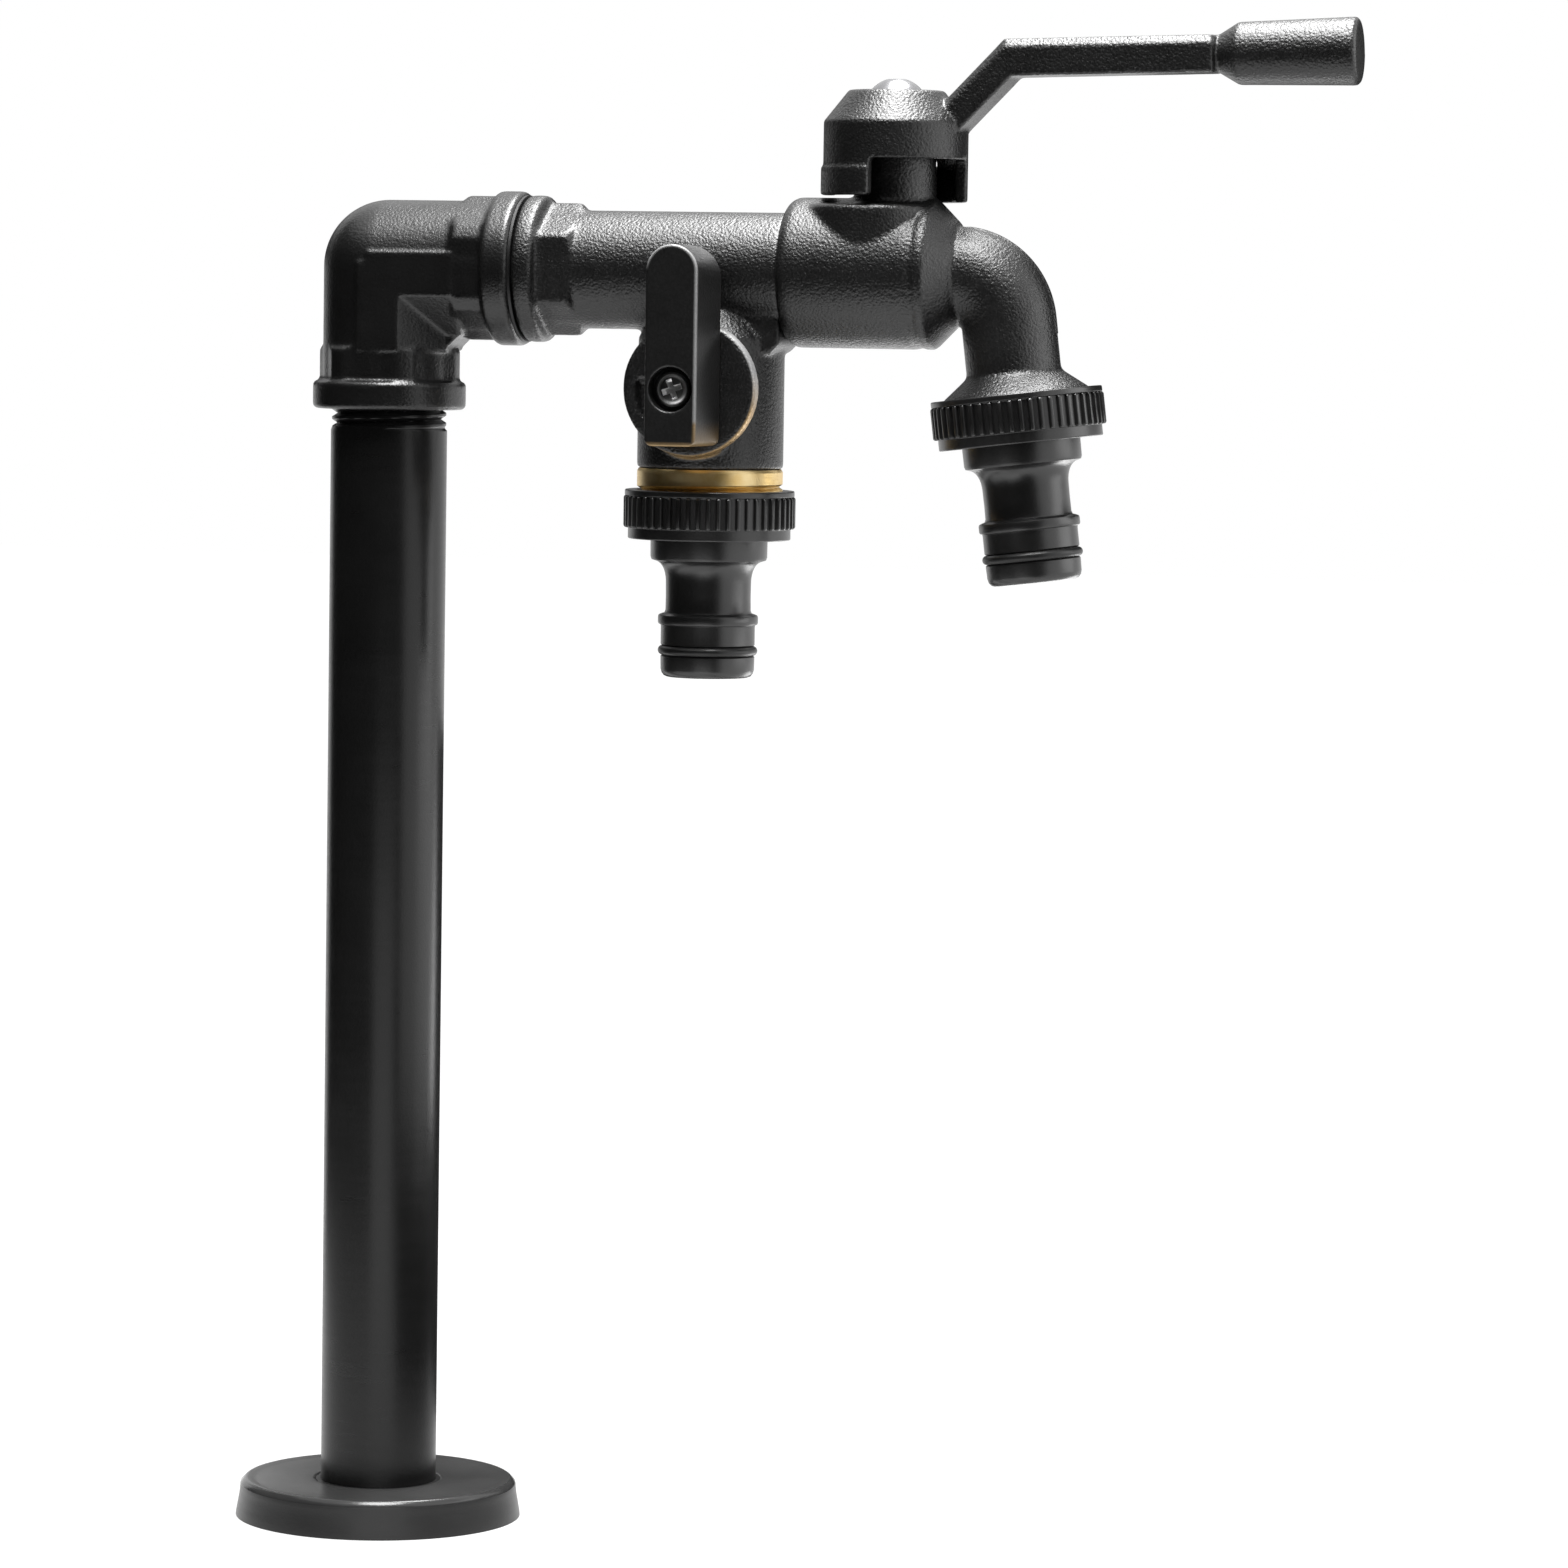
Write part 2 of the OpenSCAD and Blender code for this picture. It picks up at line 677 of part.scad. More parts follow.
module elbow() {
    color(satin_black)
        at_tap()
            difference() {
                union() {
                    sphere(r = elbow_leg_r);
                    elbow_leg();
                    mirror([1, 0, 1]) elbow_leg();
                    translate([0, octagon_corner, 0])
                        rotate([90, 0, 0])
                            linear_extrude(height = 2 * octagon_corner)
                                polygon([[elbow_flat_r - edge_bevel, edge_bevel - elbow_flat_r],
                                    [elbow_flat_r - edge_bevel, -elbow_collar_start - edge_bevel],
                                    [elbow_collar_start + edge_bevel, edge_bevel - elbow_flat_r]]);
                }
                sphere(r = elbow_way_r);
                bar_x(0, elbow_len, elbow_way_r);
                mirror([1, 0, 1]) bar_x(0, elbow_len, elbow_way_r);
                bar_x(elbow_socket_end, elbow_len + cut_over, elbow_socket_r);
                mirror([1, 0, 1]) bar_x(elbow_socket_end, elbow_len + cut_over, elbow_socket_r);
            }
}

module inlet_seal() {
    color(rubber_black)
        at_tap()
            difference() {
                bar_x(elbow_len, inlet_face_x, inlet_collar_r);
                bar_x(elbow_len - cut_over, inlet_face_x + cut_over, elbow_socket_r);
            }
}

// Tap inlet casting
module branch_shape() {
    translate([branch_x, 0, branch_face_z])
        cylinder(r = branch_r, h = branch_cone_start - branch_face_z);
    translate([branch_x, 0, branch_cone_start])
        cylinder(r1 = branch_r, r2 = branch_top_r, h = branch_cone_h);
    translate([branch_x, web_half_w, 0])
        rotate([90, 0, 0])
            linear_extrude(height = 2 * web_half_w)
                polygon([[branch_r / 2, 0], [seam_offset, -barrel_r / 2],
                    [seam_offset, -housing_r + edge_bevel], [seam_offset - edge_bevel, -housing_r],
                    [branch_r - edge_bevel, -housing_r - 2 * edge_bevel], [branch_r / 2, -housing_r]]);
}

module inlet_body() {
    color(cast_black)
        difference() {
            union() {
                at_tap() {
                    bar_x(elbow_len - shank_len, inlet_face_x + edge_bevel, thread_r);
                    translate([inlet_face_x, 0, 0])
                        rotate([0, 90, 0]) bevelled_disc(inlet_collar_r, inlet_collar_w, edge_bevel);
                    translate([collar_end_x - edge_bevel, 0, 0])
                        rotate([0, 90, 0])
                            turned_hexagon(inlet_hex_af, inlet_hex_af / 2 / cos(30) - edge_bevel / 4,
                                inlet_hex_w + edge_bevel);
                    bar_x(collar_end_x, seam_x, barrel_r);
                    bar_x(seam_x - edge_bevel, tail_end_x, tail_r);
                    branch_shape();
                }
                at_side_valve() {
                    cylinder(r = side_neck_r, h = side_boss_face - edge_bevel);
                    translate([0, 0, side_boss_face - side_boss_t])
                        bevelled_disc(side_boss_r, side_boss_t, edge_bevel / 2);
                }
            }
            at_tap() {
                bar_x(elbow_len - shank_len - cut_over, tail_end_x + cut_over, inlet_way_r);
                o_ring_groove_x(body_ring_x);
                translate([branch_x, 0, -side_valve_drop]) cylinder(r = side_bore_r, h = side_valve_drop);
                translate([branch_x, 0, -side_valve_drop - side_seat_far])
                    cylinder(r = side_seat_r + fit_gap, h = 2 * side_seat_far);
                translate([branch_x, 0, branch_face_z - cut_over])
                    cylinder(r = branch_tail_r + fit_gap,
                        h = branch_below_valve - side_seat_far + cut_over);
            }
            at_side_valve() {
                cylinder(r = side_stem_r + run_gap, h = side_boss_face + cut_over);
                cylinder(r = side_flange_r + run_gap, h = side_chamber_h);
                ring_sector([-180 - pocket_margin, -turn_angle + pocket_margin],
                    peg_orbit_r - peg_r - peg_gap, peg_orbit_r + peg_r + peg_gap,
                    side_boss_face - peg_h, side_boss_face + cut_over);
            }
        }
}

// Groove for the O-ring on the casting's tail
module o_ring_groove_x(x) {
    translate([x - o_ring_s - fit_gap, 0, 0])
        rotate([0, 90, 0])
            ring_sector([0, 360], tail_r - 2 * o_ring_s, tail_r + cut_over, 0,
                2 * (o_ring_s + fit_gap));
}

module body_ring() {
    color(rubber_black)
        at_tap()
            translate([body_ring_x, 0, 0])
                rotate([0, 90, 0]) o_ring(tail_r - o_ring_sink, o_ring_s, 0);
}

// Front casting
module housing_shape() {
    rotate([0, 90, 0])
        rotate_extrude()
            polygon(concat(
                [[0, seam_x]],
                [for (i = [0 : round_steps])
                    [housing_r - shoulder_round * (1 - sin(90 * i / round_steps)),
                        seam_x + shoulder_round * (1 - cos(90 * i / round_steps))]],
                [[housing_r, shoulder_x - band_groove_back - band_groove_w],
                    [housing_r - band_groove_d, shoulder_x - band_groove_back - band_groove_w / 2],
                    [housing_r, shoulder_x - band_groove_back],
                    [housing_r, shoulder_x],
                    [slope_end_r, shoulder_x + housing_slope],
                    [slope_end_r - edge_bevel, bend_x], [joint_stub_r, bend_x],
                    [joint_stub_r, bend_x + edge_bevel / 2], [0, bend_x + edge_bevel / 2]]));
}

// Spout's bent and straight run with radius r, out to length below the bend
module spout_run(r, length) {
    at_tap()
        translate([bend_x, 0, -spout_bend_r])
            rotate([90, 0, 0])
                rotate([0, 0, spout_tilt])
                    rotate_extrude(angle = 90 - spout_tilt)
                        translate([spout_bend_r, 0]) circle(r = r);
    at_bend_end() {
        translate([0, 0, -length]) cylinder(r = r, h = length);
        translate([0, 0, -edge_bevel / 2]) cylinder(r = r - edge_bevel, h = edge_bevel);
    }
}

module spout_body() {
    color(cast_black)
        difference() {
            union() {
                at_tap() housing_shape();
                at_main_valve() {
                    translate([-neck_boss_shift, 0, 0])
                        rotate_extrude()
                            polygon([[0, 0], [neck_boss_r, 0],
                                [neck_boss_r, neck_boss_h - edge_bevel],
                                [neck_boss_r - edge_bevel, neck_boss_h], [0, neck_boss_h]]);
                    rotate_extrude()
                        polygon([[0, 0], [neck_foot_r, 0], [neck_foot_r, neck_boss_h],
                            [neck_r, neck_foot_h], [neck_r, neck_h], [0, neck_h]]);
                    ring_sector([lug_start, lug_start + lug_angle], neck_r - cut_over, lug_r,
                        lug_foot_h, lug_top_h);
                }
                spout_run(spout_r, spout_straight - front_thread_len);
                at_front_outlet() {
                    bevelled_disc(outlet_thread_r, front_thread_len, edge_bevel / 2);
                    translate([0, 0, front_thread_len - edge_bevel / 2])
                        cylinder(r1 = outlet_thread_r, r2 = spout_r, h = spout_flare_h);
                }
            }
            at_tap() {
                bar_x(seam_x - cut_over, tail_end_x, tail_r + fit_gap);
                bar_x(tail_end_x - cut_over, valve_x + main_seat_far, main_seat_r + fit_gap);
                bar_x(valve_x, bend_x + edge_bevel / 2, spout_way_r - way_step);
            }
            spout_run(spout_way_r, spout_straight + cut_over);
            at_main_valve() {
                cylinder(r = main_stem_r + run_gap, h = neck_h + cut_over);
                cylinder(r = main_flange_r + run_gap, h = main_chamber_h);
                translate([0, 0, packing_start_h]) cylinder(r = gland_r + fit_gap, h = neck_h);
            }
        }
}

// Main valve
module main_ball() {
    color(steel) at_main_valve() valve_ball(main_ball_r, main_bore_r, main_slot_w, main_slot_h);
}

module main_seat_inlet() {
    color(white_seal)
        at_main_valve()
            rotate([0, 0, 180]) ball_seat(main_ball_r, main_bore_r, main_seat_r, main_seat_far);
}

module main_seat_outlet() {
    color(white_seal) at_main_valve() ball_seat(main_ball_r, main_bore_r, main_seat_r, main_seat_far);
}

module main_stem() {
    color(brass)
        at_main_valve()
            spindle(main_stem_r, main_flange_r, main_flange_h, main_flange_t, main_tang_r,
                main_slot_w - 2 * run_gap, main_slot_h + run_gap, hub_band_h,
                main_drive_r, main_drive_flat, main_stem_top, handle_screw_r + fit_gap,
                handle_screw_len, main_ring_heights);
}

module main_thrust_washer() {
    color(white_seal)
        at_main_valve()
            ring_sector([0, 360], main_stem_r + run_gap, main_flange_r, main_washer_h + run_gap / 2,
                main_chamber_h);
}

module main_stem_rings() {
    color(rubber_black)
        at_main_valve()
            for (z = main_ring_heights)
                o_ring(main_stem_r - o_ring_sink, o_ring_s, z);
}

module stem_packing() {
    color(white_seal)
        at_main_valve()
            ring_sector([0, 360], main_stem_r + run_gap, gland_r, packing_start_h, gland_start_h);
}

module gland_nut() {
    color(brass)
        at_main_valve()
            difference() {
                union() {
                    translate([0, 0, gland_start_h]) cylinder(r = gland_r, h = gland_len + edge_bevel);
                    translate([0, 0, neck_h])
                        turned_hexagon(gland_hex_af, gland_hex_af / 2 / cos(30) - edge_bevel / 4,
                            gland_hex_h);
                }
                cylinder(r = main_stem_r + run_gap, h = hub_top_h);
            }
}

// Main handle: hub with its skirt, cranked arm and grip

// Straight limb of the arm over a foot line, its upper edges bevelled down to a lower top line
module arm_limb(foot, top, low_top) {
    hull() {
        for (limb = [[low_top, arm_w], [top, arm_w - 2 * arm_bevel]])
            translate([0, limb[1] / 2, 0])
                rotate([90, 0, 0])
                    linear_extrude(height = limb[1])
                        polygon([foot[0], foot[1], limb[0][1], limb[0][0]]);
    }
}

module handle_arm() {
    run = [cos(crank_angle), sin(crank_angle)];
    across = [-sin(crank_angle), cos(crank_angle)];
    bar_run = [cos(bar_tilt), sin(bar_tilt)];
    bar_across = [-sin(bar_tilt), cos(bar_tilt)];
    corner_shift = (bar_h - crank_t * cos(crank_angle - bar_tilt)) / sin(crank_angle - bar_tilt);
    under = [arm_reach, arm_under_h];
    over = under + crank_t * across + corner_shift * run;
    low_over = over + (under - over) * arm_bevel / bar_h;
    root = max((arm_reach - hub_r) / cos(crank_angle), (arm_under_h - hub_band_h) / sin(crank_angle))
        + crank_t / 2;
    bar_end = under + bar_len * bar_run;
    arm_limb([under, bar_end], [over, bar_end + bar_h * bar_across],
        [low_over, bar_end + (bar_h - arm_bevel) * bar_across]);
    arm_limb([under, under - root * run], [over, over - root * run],
        [low_over, low_over - root * run]);
}

module handle_grip() {
    translate([arm_reach, 0, arm_under_h])
        rotate([0, -bar_tilt, 0])
            translate([bar_len, 0, bar_h / 2])
                rotate([0, 90, 0])
                    rotate_extrude()
                        polygon([[0, -edge_bevel], [grip_neck_r, -edge_bevel],
                            [grip_neck_r, 0], [grip_inner_r, grip_cone_len],
                            [grip_outer_r, grip_cone_len + grip_len - edge_bevel],
                            [grip_outer_r - edge_bevel, grip_cone_len + grip_len],
                            [0, grip_cone_len + grip_len]]);
}

module main_handle() {
    color(cast_black)
        at_main_valve()
            difference() {
                union() {
                    rotate_extrude()
                        polygon([[0, skirt_right_h], [hub_r, skirt_right_h], [hub_r, hub_band_h],
                            [hub_top_r, hub_top_h], [0, hub_top_h]]);
                    ring_sector([back_window[1] - stop_clear, 360 + front_window[0] + stop_clear],
                        hub_r - edge_bevel, hub_r + skirt_step, skirt_left_h - edge_bevel,
                        skirt_step_h);
                    handle_arm();
                    handle_grip();
                }
                translate([0, 0, skirt_right_h - cut_over])
                    cylinder(r = hub_cavity_r, h = hub_band_h - skirt_right_h + cut_over);
                ring_sector(front_window, hub_cavity_r - cut_over, hub_r + 2 * cut_over,
                    skirt_right_h - cut_over, window_top_h);
                ring_sector(back_window, hub_cavity_r - cut_over, hub_r + 2 * cut_over,
                    skirt_right_h - cut_over, window_top_h);
                ring_sector([back_window[1] - stop_clear, 360 + front_window[0] + stop_clear],
                    hub_cavity_r - cut_over, hub_r + 2 * cut_over, skirt_right_h - cut_over,
                    skirt_left_h);
                double_d(main_drive_r + fit_gap, main_drive_flat + 2 * fit_gap,
                    hub_band_h - cut_over, hub_top_h + cut_over);
            }
}

module handle_screw() {
    color(steel)
        at_main_valve() {
            difference() {
                intersection() {
                    translate([0, 0, hub_top_h + dome_h - dome_sphere_r]) sphere(r = dome_sphere_r);
                    translate([0, 0, hub_top_h]) cylinder(r = dome_r + cut_over, h = dome_h + cut_over);
                }
                translate([0, 0, hub_top_h + dome_h - dome_socket_d])
                    cylinder(r = dome_socket_af / 2 / cos(30), h = dome_socket_d + cut_over, $fn = 6);
            }
            translate([0, 0, main_stem_top - handle_screw_len + fit_gap])
                cylinder(r = handle_screw_r, h = hub_top_h - main_stem_top + handle_screw_len);
        }
}

// Side valve
module branch_outlet() {
    color(brass)
        at_tap()
            translate([branch_x, 0, 0])
                difference() {
                    union() {
                        translate([0, 0, branch_face_z - edge_bevel])
                            cylinder(r = branch_tail_r,
                                h = branch_below_valve - side_seat_far + edge_bevel);
                        translate([0, 0, branch_outlet_z])
                            bevelled_disc(outlet_thread_r, branch_bare_len, edge_bevel / 2);
                    }
                    translate([0, 0, branch_outlet_z - cut_over])
                        cylinder(r = side_bore_r + edge_bevel, h = side_valve_drop);
                    translate([0, 0, branch_face_z - brass_band_h])
                        rotate_extrude()
                            polygon([[outlet_thread_r + brass_groove_d, thread_pitch * brass_groove_share],
                                [outlet_thread_r - brass_groove_d, 0],
                                [outlet_thread_r + brass_groove_d, -thread_pitch * brass_groove_share]]);
                }
}

module branch_ball() {
    color(steel) at_side_flow() valve_ball(side_ball_r, side_bore_r, side_slot_w, side_slot_h);
}

module branch_seat_upper() {
    color(white_seal) at_side_flow() ball_seat(side_ball_r, side_bore_r, side_seat_r, side_seat_far);
}

module branch_seat_lower() {
    color(white_seal)
        at_side_flow()
            rotate([0, 0, 180]) ball_seat(side_ball_r, side_bore_r, side_seat_r, side_seat_far);
}

module branch_stem() {
    color(brass)
        at_side_flow()
            spindle(side_stem_r, side_flange_r, side_flange_h, side_flange_t, side_tang_r,
                side_slot_w - 2 * run_gap, side_slot_h + run_gap, lever_back,
                side_drive_r, side_drive_flat, side_stem_top, lever_screw_r + fit_gap,
                lever_screw_len - (lever_floor - side_stem_top) + fit_gap, side_ring_heights);
}

module branch_thrust_washer() {
    color(white_seal)
        at_side_valve()
            ring_sector([0, 360], side_stem_r + run_gap, side_flange_r, side_washer_h + run_gap / 2,
                side_chamber_h);
}

module branch_stem_rings() {
    color(rubber_black)
        at_side_valve()
            for (z = side_ring_heights)
                o_ring(side_stem_r - o_ring_sink, o_ring_s, z);
}

// Outline of the side lever at one level of its draft, with its top rounded to width w
module lever_slab(w, z) {
    translate([0, 0, z])
        linear_extrude(height = slab_t) {
            translate([0, side_lever_up - w / 2]) circle(r = w / 2, $fn = small_facets);
            for (side = [-1, 1])
                translate([side * (w / 2 - lever_corner_r), lever_corner_r - side_lever_down])
                    circle(r = lever_corner_r, $fn = small_facets);
        }
}

module branch_lever() {
    color(cast_black)
        at_side_valve()
            difference() {
                union() {
                    hull() {
                        lever_slab(side_lever_back_w, lever_back);
                        lever_slab(side_lever_front_w, lever_front - slab_t);
                    }
                    translate([0, -peg_orbit_r, lever_back - peg_h + fit_gap])
                        cylinder(r = peg_r, h = 2 * peg_h);
                }
                translate([0, 0, lever_floor])
                    cylinder(r = side_recess_r, h = side_recess_d + cut_over);
                rotate([0, 0, 90])
                    double_d(side_drive_r + fit_gap, side_drive_flat + 2 * fit_gap,
                        lever_back - cut_over, lever_front);
            }
}

module lever_screw() {
    slot_half = lever_screw_head_r * lever_screw_slot_share;
    slot_d = lever_screw_head_h * lever_screw_slot_share;
    color(steel)
        at_side_valve()
            difference() {
                union() {
                    translate([0, 0, lever_floor])
                        bevelled_disc(lever_screw_head_r, lever_screw_head_h, lever_screw_head_h / 4);
                    translate([0, 0, lever_floor - lever_screw_len])
                        cylinder(r = lever_screw_r, h = lever_screw_len + lever_screw_head_h / 2);
                }
                for (a = [0, 90])
                    rotate([0, 0, a])
                        translate([-slot_half, -lever_screw_slot_w / 2,
                            lever_floor + lever_screw_head_h - slot_d])
                            cube([2 * slot_half, lever_screw_slot_w, slot_d + cut_over]);
            }
}

// Hose connector: ribbed union nut, washer, nipple and O-ring, hung from an outlet's thread
module hose_nut() {
    rib_pitch = 360 / nut_ribs;
    difference() {
        union() {
            translate([0, 0, nut_top_z - nut_top_ring_h])
                bevelled_disc(nut_plain_r, nut_top_ring_h, nut_top_ring_h / 4);
            translate([0, 0, nut_foot_z + nut_foot_ring_h])
                linear_extrude(height = nut_band_h)
                    polygon([for (i = [0 : nut_ribs - 1], k = [0 : 3])
                        let (a = (i + rib_shares[k]) * rib_pitch)
                            (k < 2 ? nut_r : nut_r - nut_rib_d) * [cos(a), sin(a)]]);
            translate([0, 0, nut_foot_z]) bevelled_disc(nut_foot_r, nut_foot_ring_h + edge_bevel,
                edge_bevel / 2);
        }
        translate([0, 0, nut_foot_z - cut_over]) cylinder(r = nut_hole_r, h = nut_h + 2 * cut_over);
        translate([0, 0, lip_top_z]) cylinder(r = nut_bore_r, h = nut_h);
    }
}

module hose_washer() {
    ring_sector([0, 360], washer_hole_r, nipple_flange_r, -hose_washer_t, 0);
}

module hose_nipple() {
    difference() {
        rotate_extrude()
            polygon(concat(
                [[0, -hose_washer_t], [nipple_flange_r, -hose_washer_t], [nipple_flange_r, lip_top_z],
                    [nipple_collar_r, lip_top_z],
                    [nipple_collar_r - edge_bevel / 4, collar_foot_z + edge_bevel],
                    [nipple_neck_r + flare_w + edge_bevel / 2, collar_foot_z]],
                [for (i = [0 : round_steps])
                    [nipple_neck_r + flare_w * (1 - sin(90 * i / round_steps)),
                        collar_foot_z - flare_len * (1 - cos(90 * i / round_steps))]],
                [[nipple_neck_r, ridge_top_z + edge_bevel], [nipple_ridge_r, ridge_top_z],
                    [nipple_ridge_r, ridge_foot_z], [nipple_barrel_r, ridge_foot_z - edge_bevel / 4],
                    [nipple_barrel_r, hose_ring_z + hose_groove_half],
                    [hose_groove_floor_r, hose_ring_z + hose_groove_half],
                    [hose_groove_floor_r, hose_ring_z - hose_groove_half],
                    [nipple_barrel_r, hose_ring_z - hose_groove_half]],
                [for (i = [0 : round_steps])
                    [nipple_barrel_r - tip_round * (1 - cos(90 * i / round_steps)),
                        nipple_tip_z + tip_round * (1 - sin(90 * i / round_steps))]],
                [[0, nipple_tip_z]]));
        translate([0, 0, nipple_tip_z - cut_over])
            cylinder(r = nipple_way_r, h = cut_over - nipple_tip_z);
    }
}

module hose_ring() {
    o_ring(hose_ring_centre_r, hose_ring_s, hose_ring_z);
}

module front_hose_nut() {
    color(plastic_black) at_front_outlet() hose_nut();
}

module front_hose_washer() {
    color(rubber_black) at_front_outlet() hose_washer();
}

module front_hose_nipple() {
    color(plastic_black) at_front_outlet() hose_nipple();
}

module front_hose_ring() {
    color(rubber_black) at_front_outlet() hose_ring();
}

module branch_hose_nut() {
    color(plastic_black) at_branch_outlet() hose_nut();
}

module branch_hose_washer() {
    color(rubber_black) at_branch_outlet() hose_washer();
}

module branch_hose_nipple() {
    color(plastic_black) at_branch_outlet() hose_nipple();
}

module branch_hose_ring() {
    color(rubber_black) at_branch_outlet() hose_ring();
}

base_flange();
base_cover();
cover_ring();
riser_pipe();
elbow();
inlet_seal();
inlet_body();
body_ring();
spout_body();
main_ball();
main_seat_inlet();
main_seat_outlet();
main_stem();
main_thrust_washer();
main_stem_rings();
stem_packing();
gland_nut();
main_handle();
handle_screw();
branch_outlet();
branch_ball();
branch_seat_upper();
branch_seat_lower();
branch_stem();
branch_thrust_washer();
branch_stem_rings();
branch_lever();
lever_screw();
front_hose_nut();
front_hose_washer();
front_hose_nipple();
front_hose_ring();
branch_hose_nut();
branch_hose_washer();
branch_hose_nipple();
branch_hose_ring();
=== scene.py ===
import math

import bmesh
import bpy
from mathutils import Euler, Matrix, Vector


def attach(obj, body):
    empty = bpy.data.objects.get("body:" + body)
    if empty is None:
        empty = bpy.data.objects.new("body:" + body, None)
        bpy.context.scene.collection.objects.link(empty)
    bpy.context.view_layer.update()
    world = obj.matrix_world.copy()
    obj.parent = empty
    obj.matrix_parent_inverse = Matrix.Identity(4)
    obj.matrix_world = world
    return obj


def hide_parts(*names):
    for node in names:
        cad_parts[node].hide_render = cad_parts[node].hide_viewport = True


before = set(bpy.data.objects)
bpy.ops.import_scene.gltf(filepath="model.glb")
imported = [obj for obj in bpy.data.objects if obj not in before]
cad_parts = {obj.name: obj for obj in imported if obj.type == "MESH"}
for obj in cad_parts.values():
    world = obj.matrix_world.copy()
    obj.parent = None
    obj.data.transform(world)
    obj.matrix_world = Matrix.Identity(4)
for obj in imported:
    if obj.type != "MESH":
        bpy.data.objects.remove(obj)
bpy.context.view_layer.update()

# Camera: a long lens a little to the right of the tap's side and as high as the side valve, rolled
# slightly as in the photograph.
camera = bpy.data.objects.new("camera", bpy.data.cameras.new("camera"))
camera.data.lens = 146
camera.data.sensor_width = 36
camera_place = (0.3545, -1.1157, 0.2276)
camera_pitch, camera_yaw, camera_roll = (math.radians(angle) for angle in (85.57, 14.03, 0.87))
camera.matrix_world = (
    Matrix.Translation(camera_place)
    @ Euler((camera_pitch, 0, camera_yaw)).to_matrix().to_4x4()
    @ Matrix.Rotation(camera_roll, 4, "Z")
)
bpy.context.scene.collection.objects.link(camera)
bpy.context.scene.camera = camera
bpy.context.scene.view_settings.view_transform = "Standard"


# Studio: a white floor and air, a soft box overhead, a tall one to the right and weak ones low
# behind and in front. Only reflections show the dark curtain behind the camera and the dark flags
# round the foot, the riser, the grip and the top edges.
class Wire:
    """A socket of a material's nodes. Sums and products of wires add their Math nodes."""

    def __init__(self, tree, socket=None):
        self.tree = tree
        self.socket = socket

    def node(self, kind, settings=None, inputs=None, output=0):
        """Adds a node: its settings first, then the values or wires of its sockets."""
        made = self.tree.nodes.new(kind)
        for name, value in (settings or {}).items():
            setattr(made, name, value)
        for name, value in (inputs or {}).items():
            if isinstance(value, Wire):
                self.tree.links.new(value.socket, made.inputs[name])
            else:
                made.inputs[name].default_value = value
        return Wire(self.tree, made.outputs[output] if made.outputs else None)

    def maths(self, operation, first, second):
        return self.node("ShaderNodeMath", {"operation": operation}, {0: first, 1: second})

    def __add__(self, other):
        return self.maths("ADD", self, other)

    __radd__ = __add__

    def __sub__(self, other):
        return self.maths("SUBTRACT", self, other)

    def __rsub__(self, other):
        return self.maths("SUBTRACT", other, self)

    def __mul__(self, other):
        return self.maths("MULTIPLY", self, other)

    __rmul__ = __mul__

    def over(self, low, high):
        """Runs from 0 at low to 1 at high."""
        return self.node("ShaderNodeMapRange", {}, {
            "Value": self, "From Min": low, "From Max": high})

    def between(self, first, second):
        """The colour first where this wire is 0, and second where it is 1."""
        return self.node("ShaderNodeMix", {"data_type": "RGBA"}, {0: self, 6: first, 7: second}, 2)


def grey(tone):
    return (tone, tone, tone, 1)


def blank(material):
    material.use_nodes = True
    material.node_tree.nodes.clear()
    return Wire(material.node_tree)


def backdrop_share(start):
    """1 for rays that show the backdrop as it looks, 0 for those that light the object."""
    kinds = [start.node("ShaderNodeLightPath", output=kind) for kind in
             ("Is Camera Ray", "Is Glossy Ray", "Is Transmission Ray")]
    return start.maths("MAXIMUM", kinds[0], start.maths("MAXIMUM", kinds[1], kinds[2]))


def stage_mesh(name, points, faces, material, hidden=False):
    mesh = bpy.data.meshes.new(name)
    mesh.from_pydata(points, [], faces)
    mesh.materials.append(material)
    thing = bpy.data.objects.new(name, mesh)
    bpy.context.scene.collection.objects.link(thing)
    thing.visible_camera = not hidden
    return thing


white, air_light, floor_tone, curtain_tone = grey(1.0), grey(0.3), grey(0.16), grey(0.01)
world = bpy.data.worlds.new("white_room")
bpy.context.scene.world = world
air = blank(world)
air.node("ShaderNodeOutputWorld", {}, {"Surface": air.node(
    "ShaderNodeBackground", {},
    {"Color": backdrop_share(air).between(air_light, white), "Strength": 1.0})})

floor_half, lit_near, lit_far, near_glow, far_glow = 4, 0.35, 1.6, 0.84, 1.0
floor_paint = bpy.data.materials.new("floor_paint")
paint = blank(floor_paint)
from_foot = paint.node("ShaderNodeVectorMath", {"operation": "LENGTH"}, {
    0: paint.node("ShaderNodeTexCoord", output="Object")}, 1)
floor_glow = from_foot.over(lit_near, lit_far) * (far_glow - near_glow) + near_glow
paint.node("ShaderNodeOutputMaterial", {}, {"Surface": paint.node("ShaderNodeAddShader", {}, {
    0: paint.node("ShaderNodeBsdfDiffuse", {}, {"Color": floor_tone}),
    1: paint.node("ShaderNodeEmission", {}, {
        "Color": white, "Strength": backdrop_share(paint) * floor_glow})})})
floor_corners = [(x * floor_half, y * floor_half, 0)
                 for x, y in ((-1, -1), (1, -1), (1, 1), (-1, 1))]
stage_mesh("floor", floor_corners, [(0, 1, 2, 3)], floor_paint)

